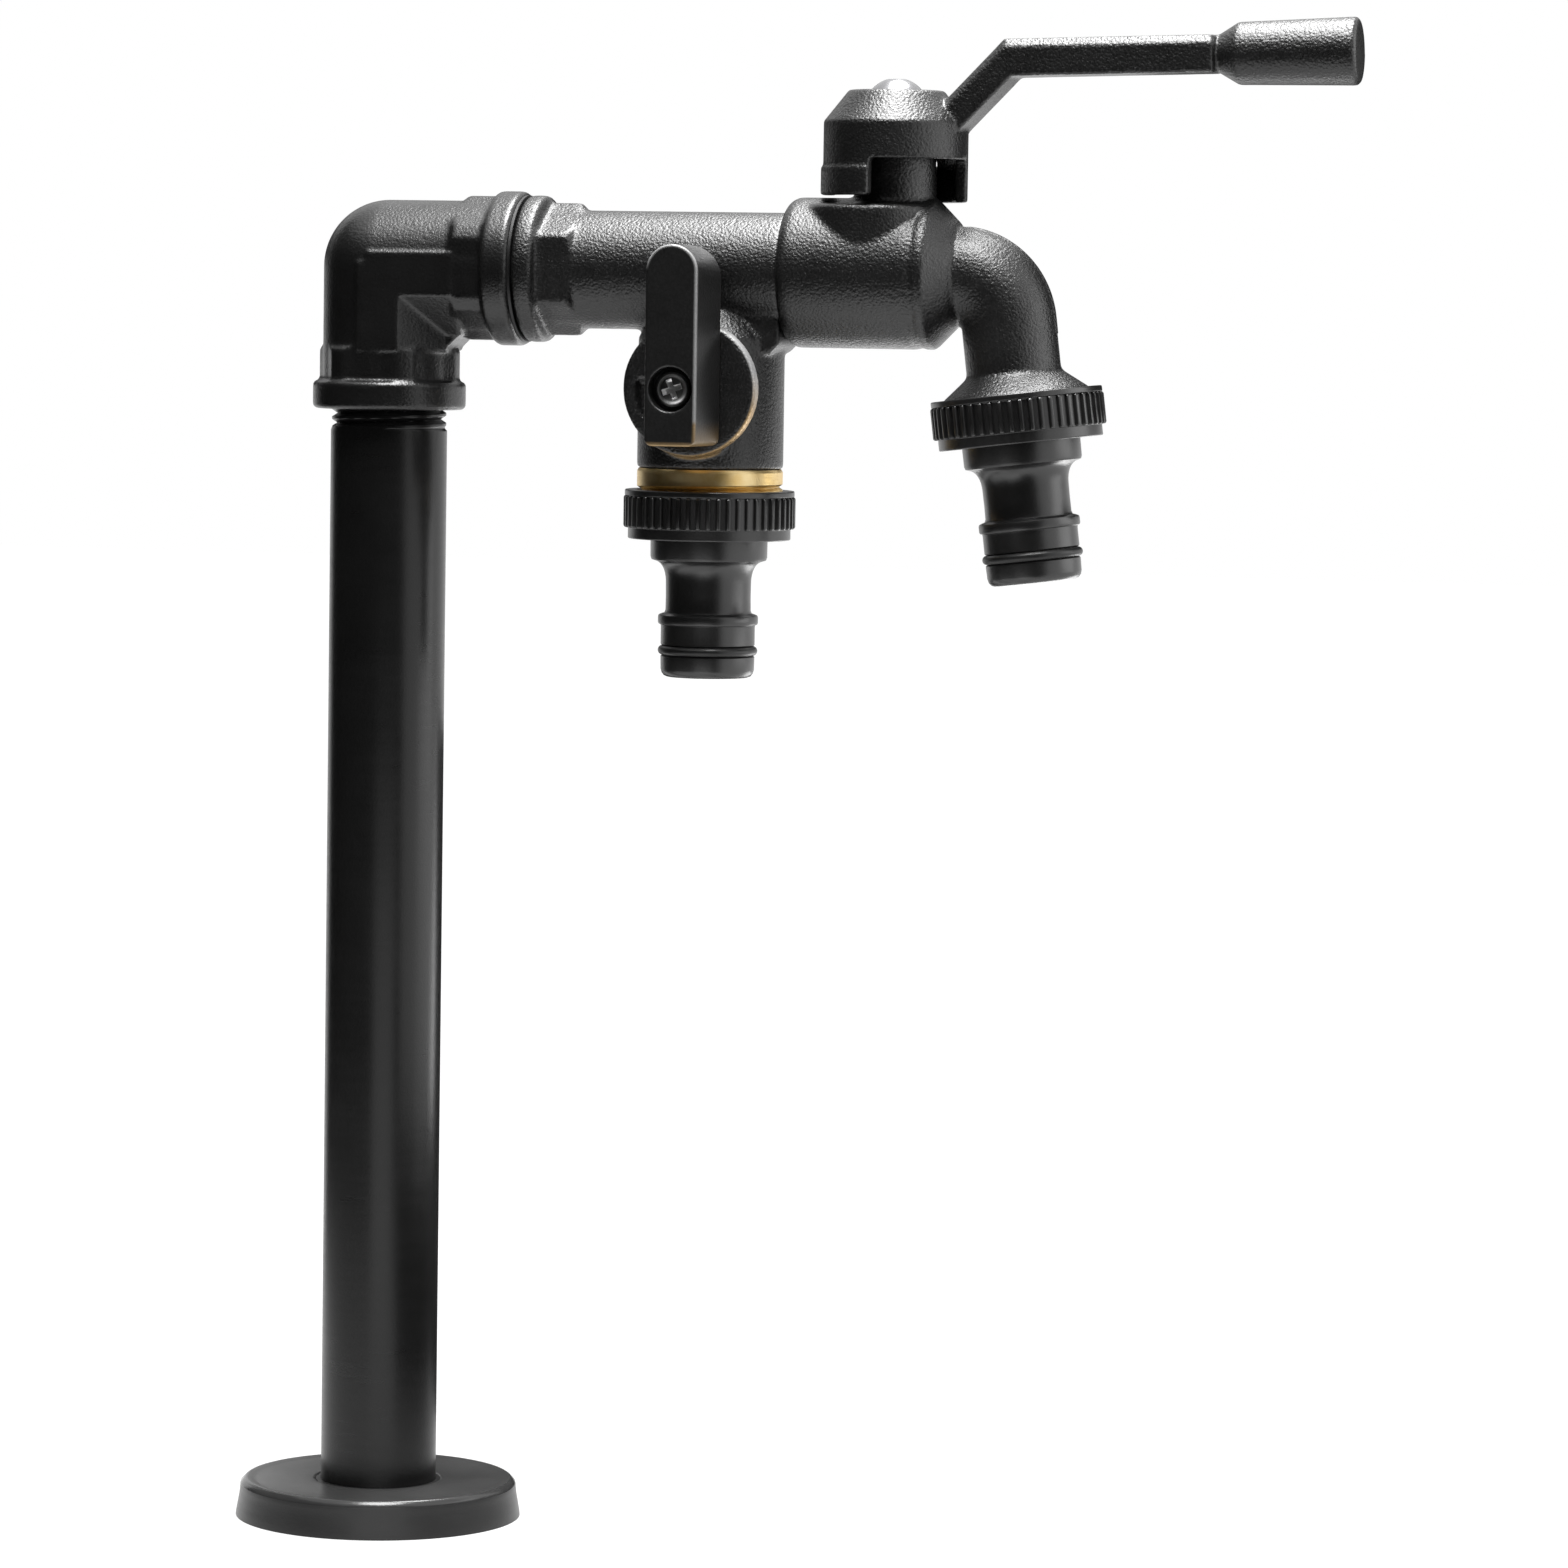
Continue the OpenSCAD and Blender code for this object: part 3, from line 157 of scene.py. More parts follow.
curtain_cloth = bpy.data.materials.new("curtain_cloth")
cloth = blank(curtain_cloth)
cloth.node("ShaderNodeOutputMaterial", {}, {"Surface": cloth.node(
    "ShaderNodeBsdfDiffuse", {}, {"Color": curtain_tone})})
curtain_start, curtain_step, curtain_rods = -215, 11, 17
curtain_outline = [(0.30, 0.002), (0.60, 0.002), (0.62, 0.8)]
curtain_arc = [math.radians(curtain_start + curtain_step * k) for k in range(curtain_rods)]
curtain_points = [(r * math.cos(a), r * math.sin(a), z)
                  for a in curtain_arc for r, z in curtain_outline]
curtain_faces = [(3 * k + j, 3 * k + j + 3, 3 * k + j + 4, 3 * k + j + 1)
                 for k in range(len(curtain_arc) - 1) for j in (0, 1)]
curtain = stage_mesh("curtain", curtain_points, curtain_faces, curtain_cloth, hidden=True)
curtain.visible_diffuse = curtain.visible_shadow = False
# A flag stands between two places on the floor plan, from a lower to an upper height.
flags = {
    "flag_foot_side": ((0.10, -0.09), (0.10, 0.12), 0.001, 0.06),
    "flag_foot": ((-0.055, 0.10), (0.09, 0.10), 0.001, 0.032),
    "flag_riser": ((-0.04, 0.101), (0.09, 0.101), 0.001, 0.14),
    "flag_back": ((-0.50, 0.40), (0.30, 0.40), 0.24, 0.38),
    "flag_grip": ((0.13, 0.058), (0.211, 0.040), 0.205, 0.292),
}
for name, (left, right, low, high) in flags.items():
    flag_corners = [(*left, low), (*right, low), (*right, high), (*left, high)]
    flag = stage_mesh(name, flag_corners, [(0, 1, 2, 3)], curtain_cloth, hidden=True)
    flag.visible_diffuse = False
    flag.visible_shadow = name == "flag_foot_side"


def soft_box(name, place, aim, width, height, power):
    lamp = bpy.data.lights.new(name, "AREA")
    lamp.shape = "RECTANGLE"
    lamp.size, lamp.size_y, lamp.energy = width, height, power
    box = bpy.data.objects.new(name, lamp)
    box.location = place
    box.rotation_euler = (Vector(aim) - Vector(place)).to_track_quat("-Z", "Y").to_euler()
    box.visible_camera = False
    bpy.context.scene.collection.objects.link(box)


soft_box("lamp_top", place=(0.10, 0.0, 1.0), aim=(0.08, 0, 0.2),
         width=0.95, height=0.36, power=26)
soft_box("lamp_right", place=(1.2, 0.26, 0.45), aim=(0.05, 0, 0.15),
         width=0.8, height=1.0, power=4)
soft_box("lamp_low", place=(0.11, 0.19, 0.06), aim=(0.11, 0, 0.22),
         width=0.26, height=0.09, power=0.3)
soft_box("lamp_front", place=(0.065, -0.2, 0.06), aim=(0, 0, 0.06),
         width=0.15, height=0.10, power=0.045)


# Riser: half-inch steel tube with a satin black coat, cut with a tapered pipe thread at its top and
# tapped at its foot for the supply. Two turns of the thread stay bare under the elbow.
mm = 0.001


def finish(name):
    material = bpy.data.materials.new(name)
    start = blank(material)
    return material, start.node("ShaderNodeTexCoord", output="Object")


def coat(place, colour, roughness, height=None, depth=0.0, **fixed):
    """The surface of a finish: colour, roughness and a bump of the given depth in metres."""
    inputs = {"Base Color": colour, "Roughness": roughness, **fixed}
    if height is not None:
        inputs["Normal"] = place.node("ShaderNodeBump", {}, {
            "Strength": 1.0, "Distance": depth, "Height": height})
    shader = place.node("ShaderNodeBsdfPrincipled", {}, inputs)
    place.node("ShaderNodeOutputMaterial", {}, {"Surface": shader})


def grains(place, size, detail=2.0, stretch=(1, 1, 1)):
    """Soft random grains of the given size in metres, stretched along the axes."""
    scaled = place.node("ShaderNodeVectorMath", {"operation": "MULTIPLY"}, {0: place, 1: stretch})
    return place.node("ShaderNodeTexNoise", {"noise_dimensions": "3D"}, {
        "Vector": scaled, "Scale": 1 / size, "Detail": detail, "Roughness": 0.55})


def sway(grain, amount):
    """The amount by which a grain raises or lowers a value about its middle."""
    return (grain - 0.5) * amount


def axes(place):
    return [place.node("ShaderNodeSeparateXYZ", {}, {0: place}, k) for k in range(3)]


def satin_coat(name, tone, gloss, shine=0.5, rim=None):
    """Thin satin paint over drawn steel: faint marks round the tube and soft dull patches. Rim
    gives the share of the piece that rolling has polished."""
    mark_size, skin_size, patch_size, relief = 1.1 * mm, 0.35 * mm, 22 * mm, 0.03 * mm
    pale_patch, rim_polish = 1.45, 0.16
    material, place = finish(name)
    marks = grains(place, mark_size, 3, (0.12, 0.12, 1))
    skin_grain = grains(place, skin_size)
    patches = grains(place, patch_size, 3)
    colour = patches.over(0.35, 0.7).between(grey(tone), grey(tone * pale_patch))
    gloss = gloss + sway(patches, 0.10) + sway(marks, 0.10)
    if rim:
        gloss = gloss - rim(place) * rim_polish
    coat(place, colour, gloss, marks * 0.4 + skin_grain * 0.6, relief,
         **{"Specular IOR Level": shine})
    return material


on_axis = 1e-6


def turned(name, outline, material, facets=128, thread=None, place=None):
    """A turned piece: a closed outline of radius and height in millimetres, run round Z. A point
    on the axis is a pole, and thread gives the depth to cut at a radius, height and angle."""
    work = bmesh.new()
    rings = []
    for radius, height in outline:
        if radius < on_axis:
            rings.append([work.verts.new((0, 0, height * mm))] * facets)
            continue
        ring = []
        for k in range(facets):
            angle = 2 * math.pi * k / facets
            r = radius - (thread(radius, height, angle) if thread else 0)
            ring.append(work.verts.new(
                (r * math.cos(angle) * mm, r * math.sin(angle) * mm, height * mm)))
        rings.append(ring)
    for low, high in zip(rings, rings[1:] + rings[:1]):
        for k in range(facets):
            corners = [low[k], low[(k + 1) % facets], high[(k + 1) % facets], high[k]]
            corners = [c for i, c in enumerate(corners) if c not in corners[:i]]
            if len(corners) > 2:
                work.faces.new(corners)
    return shaded(name, work, material, place)


def shaded(name, work, material, place=None, sharp=34):
    """Makes a shaded object of a bmesh, with its edges sharper than the given angle kept crisp."""
    bmesh.ops.recalc_face_normals(work, faces=work.faces)
    if place is not None:
        work.transform(place)
    for face in work.faces:
        face.smooth = True
    for edge in work.edges:
        edge.smooth = len(edge.link_faces) == 2 and edge.calc_face_angle(0) < math.radians(sharp)
    mesh = bpy.data.meshes.new(name)
    work.to_mesh(mesh)
    work.free()
    mesh.materials.append(material)
    piece = bpy.data.objects.new(name, mesh)
    bpy.context.scene.collection.objects.link(piece)
    return piece


def fitted(piece, body, node):
    """Fits a finished piece to its body, in the place of its CAD node."""
    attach(piece, body)
    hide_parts(node)
    return piece


def steps_between(low, high, count):
    return [low + (high - low) * k / count for k in range(count + 1)]


def helix_cut(pitch, depth, crest_share, start, end, fade):
    """Depth of a helical thread at a height and angle, with a run-out over fade at both ends."""
    def cut(height, angle):
        turn = (height / pitch - angle / (2 * math.pi)) % 1
        ridge = abs(turn - 0.5) * 2
        groove = min(max((ridge - crest_share) / (1 - crest_share), 0), 1)
        held = min(max((height - start) / fade, 0), 1) * min(max((end - height) / fade, 0), 1)
        return depth * groove * held
    return cut


pipe_pitch, riser_thread_depth, supply_pitch, supply_thread_depth = 1.814, 1.0, 1.337, 0.45
riser_r, riser_bore_r, riser_top, riser_chamfer = 10.65, 7.4, 217.0, 0.5
riser_thread_r, riser_thread_start = 10.48, 201.6
supply_r, supply_len, supply_chamfer = 7.9, 15.0, 0.4
riser_thread = helix_cut(pipe_pitch, riser_thread_depth, crest_share=0.25,
                         start=riser_thread_start - 0.4, end=riser_top + 2, fade=1.2)
supply_thread = helix_cut(supply_pitch, supply_thread_depth, crest_share=0.3,
                          start=-1, end=supply_len - 0.6, fade=0.8)
satin_black = satin_coat("satin_black", tone=0.006, gloss=0.30, shine=0.42)


def riser_cut(radius, height, angle):
    if radius > riser_bore_r + 2:
        return riser_thread(height, angle)
    return -supply_thread(height, angle) if height < supply_len else 0


riser_outline = (
    [(riser_r - riser_chamfer, 0), (riser_r, riser_chamfer)]
    + [(riser_r, z) for z in steps_between(5, riser_thread_start - riser_chamfer, 12)]
    + [(riser_thread_r, z) for z in steps_between(riser_thread_start, riser_top - 0.6, 150)]
    + [(riser_thread_r - 0.8, riser_top), (riser_bore_r + supply_chamfer, riser_top),
       (riser_bore_r, riser_top - supply_chamfer)]
    + [(riser_bore_r, z) for z in steps_between(riser_top - 4, supply_len + 1, 6)]
    + [(supply_r - supply_thread_depth, z) for z in reversed(steps_between(0.6, supply_len, 110))]
    + [(supply_r + supply_chamfer, 0)]
)
riser = turned("riser", riser_outline, satin_black, 96, riser_cut)
fitted(riser, "standpipe", "riser_pipe")

# Foot: a spun steel cover with a rolled rim hides the fixing flange. It slides up the riser, and a
# rubber ring in its bore keeps water and grit out.
cover_outline = [
    (11.35, 5.4), (24.25, 5.4), (25.15, 0), (26.35, 0), (26.28, 0.7), (26.05, 2.0),
    (25.72, 3.8), (25.57, 5.0), (25.52, 5.8), (25.44, 6.1), (24.78, 6.76), (24.5, 6.94),
    (24.1, 6.94), (23.3, 6.75), (22.4, 6.66), (18, 6.68), (14, 6.74), (12.2, 6.8), (11.6, 6.72),
    (11.35, 6.5),
]


def rolled_rim(place):
    """1 on the rim between the cover's top and its side, which rolling leaves smooth."""
    rim_r, rim_z = 24.3 * mm, 5.7 * mm
    x, y, z = axes(place)
    reach = x.maths("SQRT", x * x + y * y, 0.0)
    return reach.over(rim_r, rim_r + 0.3 * mm) * z.over(rim_z, rim_z + 0.4 * mm)


satin_cover = satin_coat("satin_cover", tone=0.030, gloss=0.34, shine=0.4, rim=rolled_rim)
cover = turned("foot_cover", cover_outline, satin_cover, 160)
fitted(cover, "foot_cover", "base_cover")

# Castings: gunmetal cast in sand and coated in black textured powder. The skin of each is the CAD
# solid with cast radii on its corners, and the grain is in the coat.
side_spindle_x, side_spindle_z = 61.0, 210.0
# Warm colour of a painted reflection of brass, on the side lever and the boss rim.
brass_reflection_tint = (0.62, 0.42, 0.20, 1)


def cast_coat(name, tone, gloss, grain, depth, smooth_share=0.0, shine=0.5, painted_light=None):
    """Textured powder coat: pebbles with soft tops over a wavy casting, tops painted lighter and
    dips darker as painted highlight and shade. The painted light gives, for a place on the piece,
    the share of the coat under a painted grey highlight or brass reflection, and how warm it is."""
    fine_share, wave_size, highlight_tone = 0.55, 9 * mm, 0.8
    material, place = finish(name)
    pebbles = place.node("ShaderNodeTexVoronoi", {"feature": "SMOOTH_F1"}, {
        "Vector": place, "Scale": 1 / grain, "Smoothness": 0.7, "Randomness": 1.0})
    fine = grains(place, grain * fine_share, 3)
    waves = grains(place, wave_size, 2)
    height = (1 - pebbles) * 0.75 + fine * 0.6 + waves * 1.2 * smooth_share
    # Pebble tops painted lighter and dips painted darker: painted highlight and shade of the grain.
    tops = height.over(0.55, 1.15)
    colour = tops.between(grey(tone * 0.75), grey(tone * 1.35))
    reflection_metallic = {}
    # Painted light: the coat turns to a grey painted highlight or a warm, metallic painted
    # reflection of brass.
    if painted_light:
        share, warmth = painted_light(place)
        share = share * (0.55 + fine * 0.5)
        colour = share.between(colour, warmth.between(grey(highlight_tone), brass_reflection_tint))
        reflection_metallic["Metallic"] = share * warmth * 0.8
    coat(place, colour, gloss + sway(fine, 0.22) + sway(waves, 0.12), height, depth,
         **{"Specular IOR Level": shine}, **reflection_metallic)
    return material


def lever_painted_light(place):
    """Painted light on the side lever: a warm painted reflection of brass on its lower end and
    right side, and a painted highlight on its front edge.
    """
    foot_z, side_x, front_y, head_z = 200.75 * mm, 65.0 * mm, -28.0 * mm, 230.95 * mm
    lit_x, lit_z, lit_run, warm_fade_z, warm_fade_run = 60 * mm, 231 * mm, 2 * mm, 205 * mm, 4.8 * mm
    edge_r, edge_w, edge_share, side_share = 4.1 * mm, 0.4 * mm, 0.45, 0.5
    x, y, z = axes(place)
    # Lower end and right side: warm painted reflection of brass. Front edge where lit: painted
    # highlight.
    foot = z.over(foot_z, foot_z - 0.85 * mm)
    arm = x.maths("ABSOLUTE", x - side_spindle_x * mm, 0.0)
    rise = x.maths("MAXIMUM", z - head_z, 0.0)
    reach = x.maths("SQRT", arm * arm + rise * rise, 0.0)
    edge = reach.over(edge_r, edge_r + edge_w) * y.over(front_y, front_y - 0.5 * mm)
    lit = x.maths("MAXIMUM", x.over(lit_x, lit_x + lit_run), z.over(lit_z, lit_z + lit_run))
    warm_fade = z.over(warm_fade_z, warm_fade_z - warm_fade_run)
    side = x.over(side_x, side_x + 0.3 * mm) * warm_fade * warm_fade * side_share
    brass_reflection = x.maths("MAXIMUM", foot, side)
    return x.maths("MAXIMUM", brass_reflection, edge * lit * edge_share), brass_reflection.over(0.0, 0.03)


def boss_rim_painted_light(place):
    """Painted highlight on the right rim of the boss behind the side lever, warm as a painted brass
    reflection at its lower end.
    """
    rim_in, rim_out, front_y, rim_highlight_share = 11.75 * mm, 12.9 * mm, -12.3 * mm, 0.55
    x, y, z = axes(place)
    arm, rise = x - side_spindle_x * mm, z - side_spindle_z * mm
    reach = x.maths("SQRT", arm * arm + rise * rise, 0.0)
    rim = reach.over(rim_in, rim_in + 0.35 * mm) * reach.over(rim_out, rim_out - 0.4 * mm)
    # A grey painted highlight on the right, turning to a warm painted brass reflection towards the
    # lower end.
    side = x.maths("MAXIMUM", arm.over(4 * mm, 8 * mm) * rim_highlight_share,
                   (arm - rise).over(4 * mm, 12 * mm))
    return rim * y.over(front_y, front_y - 0.7 * mm) * side, rise.over(3 * mm, -4 * mm)


def cast_skin(name, node, material, body, voxel, passes):
    """A casting's skin: the CAD node's mesh, remeshed in voxels of the given size in millimetres
    and relaxed in passes, so that its corners are soft."""
    same_place, soft_angle = 0.0005 * mm, 60
    work = bmesh.new()
    work.from_mesh(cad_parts[node].data)
    bmesh.ops.remove_doubles(work, verts=work.verts, dist=same_place)
    rough = bpy.data.meshes.new(name + "_rough")
    work.to_mesh(rough)
    work.free()
    carrier = bpy.data.objects.new(name + "_rough", rough)
    bpy.context.scene.collection.objects.link(carrier)
    remesh = carrier.modifiers.new("remesh", "REMESH")
    remesh.mode = "VOXEL"
    remesh.voxel_size = voxel * mm
    relax = carrier.modifiers.new("relax", "SMOOTH")
    relax.factor = 0.5
    relax.iterations = passes
    fine = bpy.data.meshes.new_from_object(
        carrier.evaluated_get(bpy.context.evaluated_depsgraph_get()))
    work = bmesh.new()
    work.from_mesh(fine)
    bpy.data.objects.remove(carrier)
    bpy.data.meshes.remove(rough)
    bpy.data.meshes.remove(fine)
    return fitted(shaded(name, work, material, sharp=soft_angle), body, node)


# The inlet, spout and handle coat, with the painted highlight and painted brass reflection on the
# boss rim.
grained_black = cast_coat("grained_black", tone=0.006, gloss=0.37, grain=0.5 * mm, depth=0.13 * mm,
                          shine=0.75, painted_light=boss_rim_painted_light)
smooth_black = cast_coat("smooth_black", tone=0.004, gloss=0.34, grain=0.5 * mm, depth=0.06 * mm,
                         smooth_share=0.9, shine=0.68)
# The lever's coat, with its painted brass reflection and painted edge highlight.
lever_black = cast_coat("lever_black", tone=0.010, gloss=0.36, grain=0.5 * mm, depth=0.04 * mm,
                        shine=0.6, painted_light=lever_painted_light)

cast_skin("elbow_casting", "elbow", smooth_black, "standpipe",
          voxel=0.36, passes=5)
cast_skin("inlet_casting", "inlet_body", grained_black, "standpipe",
          voxel=0.42, passes=10)
spout = cast_skin("spout_casting", "spout_body", grained_black, "standpipe",
                  voxel=0.40, passes=10)
cast_skin("handle_casting", "main_handle", grained_black, "main_valve",
          voxel=0.36, passes=5)
cast_skin("lever_casting", "branch_lever", lever_black, "side_valve",
          voxel=0.2, passes=16)

# The mould's two halves meet along the middle of the spout and leave a thin line round its bend.
ridge_half_w, ridge_h, ridge_run_out, skin_depth = 0.75, 0.28, 2, 0.8
bend_x, bend_z, bend_outer_r = 106.6, 221.7, 17.8
for vertex in spout.data.vertices:
    x, y, z = vertex.co / mm
    reach = math.hypot(x - bend_x, z - bend_z)
    on_bend = x > bend_x and z > bend_z - 1 and reach > bend_outer_r - skin_depth
    if on_bend and abs(y) < ridge_half_w:
        lift = ridge_h * (1 - (y / ridge_half_w) ** 2) * min((x - bend_x) / ridge_run_out, 1)
        vertex.co += Vector((x - bend_x, 0, z - bend_z)) / reach * lift * mm


# Brass outlet: the end of the side branch, turned from brass bar, threaded for the union nut and
# screwed into the casting. It is left bare.
def turned_brass(name):
    """Polished brass with fine tool marks round it and a few dull spots."""
    deep_brass, pale_brass, gloss = (0.80, 0.56, 0.22, 1), (0.95, 0.76, 0.42, 1), 0.24
    mark_size, spot_size, relief = 0.22 * mm, 4 * mm, 0.03 * mm
    material, place = finish(name)
    marks = grains(place, mark_size, 2, (0.05, 0.05, 1))
    dull = grains(place, spot_size, 3)
    colour = dull.over(0.3, 0.75).between(deep_brass, pale_brass)
    coat(place, colour, gloss + marks * 0.16 + dull * 0.14, marks, relief, Metallic=1.0)
    return material


brass = turned_brass("bare_brass")
branch_x, branch_face_z, branch_outlet_z, branch_tail_z = 61.0, 195.4, 187.6, 201.4
outlet_r, branch_tail_r, branch_bore_r, outlet_chamfer = 13.22, 9.62, 5.35, 0.3
outlet_thread = helix_cut(pipe_pitch, 1.05, crest_share=0.3, start=branch_outlet_z - 2,
                          end=branch_face_z - 2.6, fade=0.8)


def outlet_cut(radius, height, angle):
    return outlet_thread(height, angle) if radius > outlet_r - 1 else 0


outlet_outline = (
    [(branch_bore_r, branch_tail_z), (branch_bore_r, branch_outlet_z + 0.4),
     (branch_bore_r + 0.4, branch_outlet_z), (outlet_r - 1.2, branch_outlet_z),
     (outlet_r - outlet_chamfer, branch_outlet_z + 0.7)]
    + [(outlet_r, z) for z in steps_between(branch_outlet_z + 0.9, branch_face_z - 0.5, 90)]
    + [(outlet_r - outlet_chamfer, branch_face_z), (branch_tail_r, branch_face_z),
       (branch_tail_r, branch_tail_z)]
)
outlet = turned("brass_outlet", outlet_outline, brass, 128, outlet_cut,
                Matrix.Translation((branch_x * mm, 0, 0)))
fitted(outlet, "standpipe", "branch_outlet")


# Hose connectors: moulded black nylon. A ribbed union nut clamps a nipple to each outlet's thread,
# and the nipple's O-ring seals in a push-on hose end.
def moulded_nylon(name, tone, gloss, shine=0.5):
    """Moulded plastic with a faint spark-eroded grain and slightly polished high spots."""
    grain_size, flow_size, relief, pale_flow = 0.3 * mm, 7 * mm, 0.012 * mm, 1.4
    material, place = finish(name)
    grain = grains(place, grain_size, 2)
    flow = grains(place, flow_size, 3)
    colour = flow.over(0.3, 0.7).between(grey(tone), grey(tone * pale_flow))
    coat(place, colour, gloss + sway(flow, 0.12) + sway(grain, 0.08), grain, relief,
         **{"Specular IOR Level": shine})
    return material


nylon = moulded_nylon("black_nylon", tone=0.008, gloss=0.33, shine=0.8)
rubber = moulded_nylon("black_rubber", tone=0.007, gloss=0.40)
nut_r, nut_bore_r, nut_hole_r, rib_depth, rib_count = 15.6, 13.27, 10.7, 0.62, 52
nut_foot_r, nut_top_r, nut_floor, nut_soft_r, nut_facets = 14.75, 15.4, 1.4, 0.28, 156
nut_foot_z, nut_band_low, nut_band_high, nut_top_z = -5.0, -3.0, 2.8, 3.9


def rib_tree():
    """Stands the rib round a ring of the given radius, joins the nut to it and gives a finish."""
    tree = bpy.data.node_groups.new("nut_ribs", "GeometryNodeTree")
    sockets = tree.interface
    sockets.new_socket("Nut", in_out="INPUT", socket_type="NodeSocketGeometry")
    sockets.new_socket("Rib", in_out="INPUT", socket_type="NodeSocketObject")
    sockets.new_socket("Count", in_out="INPUT", socket_type="NodeSocketInt")
    sockets.new_socket("Radius", in_out="INPUT", socket_type="NodeSocketFloat")
    sockets.new_socket("Finish", in_out="INPUT", socket_type="NodeSocketMaterial")
    sockets.new_socket("Nut", in_out="OUTPUT", socket_type="NodeSocketGeometry")
    given = tree.nodes.new("NodeGroupInput")
    ring = tree.nodes.new("GeometryNodeMeshCircle")
    rib = tree.nodes.new("GeometryNodeObjectInfo")
    where = tree.nodes.new("GeometryNodeInputPosition")
    turn = tree.nodes.new("FunctionNodeAlignRotationToVector")
    turn.axis = "X"
    stand = tree.nodes.new("GeometryNodeInstanceOnPoints")
    join = tree.nodes.new("GeometryNodeJoinGeometry")
    real = tree.nodes.new("GeometryNodeRealizeInstances")
    paint = tree.nodes.new("GeometryNodeSetMaterial")
    result = tree.nodes.new("NodeGroupOutput")
    for source, out, target, into in (
        (given, "Count", ring, "Vertices"), (given, "Radius", ring, "Radius"),
        (given, "Rib", rib, "Object"), (where, "Position", turn, "Vector"),
        (ring, "Mesh", stand, "Points"), (rib, "Geometry", stand, "Instance"),
        (turn, "Rotation", stand, "Rotation"), (stand, "Instances", join, "Geometry"),
        (given, "Nut", join, "Geometry"), (join, "Geometry", real, "Geometry"),
        (real, "Geometry", paint, "Geometry"), (given, "Finish", paint, "Material"),
        (paint, "Geometry", result, "Nut"),
    ):
        tree.links.new(source.outputs[out], target.inputs[into])
    return tree


def rounded(outline, radius, steps=3):
    """The outline with each sharp corner turned into an arc of up to the given radius."""
    least_bend, side_share = math.radians(12), 0.45
    made = []
    for k, point in enumerate(outline):
        here = Vector(point)
        back = Vector(outline[k - 1]) - here
        ahead = Vector(outline[(k + 1) % len(outline)]) - here
        bend = math.pi - back.angle(ahead)
        if bend < least_bend or point[0] < on_axis:
            made.append(tuple(here))
            continue
        reach = min(radius * math.tan(bend / 2),
                    back.length * side_share, ahead.length * side_share)
        first, last = here + back.normalized() * reach, here + ahead.normalized() * reach
        for step in range(steps + 1):
            t = step / steps
            made.append(tuple(first * (1 - t) ** 2 + here * 2 * t * (1 - t) + last * t ** 2))
    return made


def rib_bar():
    """One rib of the nut: a bar with rounded shoulders and ends, its root sunk in the nut."""
    half_root, half_top, root, top, soft_r = 0.52, 0.34, -0.35, rib_depth, 0.2
    end_steps = [(0.02, 0.3), (0.16, 0.1), (0.4, 0)]
    work = bmesh.new()
    section = rounded([(root, -half_root), (top, -half_top), (top, half_top), (root, half_root)],
                      soft_r, 2)
    levels = [(nut_band_low + rise, inset) for rise, inset in end_steps]
    levels += [(nut_band_high - rise, inset) for rise, inset in reversed(end_steps)]
    rings = []
    for height, inset in levels:
        rings.append([work.verts.new(
            ((x - inset if x > 0 else x) * mm, y * (1 - inset * 0.5) * mm, height * mm))
            for x, y in section])
    count = len(section)
    for low, high in zip(rings, rings[1:]):
        for k in range(count):
            work.faces.new([low[k], low[(k + 1) % count], high[(k + 1) % count], high[k]])
    work.faces.new(rings[0])
    work.faces.new(rings[-1])
    bmesh.ops.recalc_face_normals(work, faces=work.faces)
    for face in work.faces:
        face.smooth = True
    mesh = bpy.data.meshes.new("rib_bar")
    work.to_mesh(mesh)
    work.free()
    return bpy.data.objects.new("rib_bar", mesh)


def union_nut(name, place, node):
    core_r = nut_r - rib_depth
    floor_z = nut_foot_z + nut_floor
    core = rounded([
        (nut_bore_r, nut_top_z), (nut_bore_r, floor_z), (nut_hole_r, floor_z),
        (nut_hole_r, nut_foot_z), (nut_foot_r, nut_foot_z), (nut_foot_r, nut_band_low),
        (core_r, nut_band_low), (core_r, nut_band_high), (nut_top_r, nut_band_high),
        (nut_top_r, nut_top_z)], nut_soft_r)
    nut = turned(name + "_core", core, nylon, nut_facets)
    bar = rib_bar()
    tree = rib_tree()
    ribs = nut.modifiers.new("ribs", "NODES")
    ribs.node_group = tree
    values = {"Rib": bar, "Count": rib_count, "Radius": core_r * mm, "Finish": nylon}
    for socket in tree.interface.items_tree:
        if socket.in_out == "INPUT" and socket.name in values:
            ribs[socket.identifier] = values[socket.name]
    whole = bpy.data.meshes.new_from_object(
        nut.evaluated_get(bpy.context.evaluated_depsgraph_get()))
    work = bmesh.new()
    work.from_mesh(whole)
    bpy.data.objects.remove(nut)
    bpy.data.objects.remove(bar)
    bpy.data.node_groups.remove(tree)
    fitted(shaded(name, work, nylon, place, sharp=40), "standpipe", node)


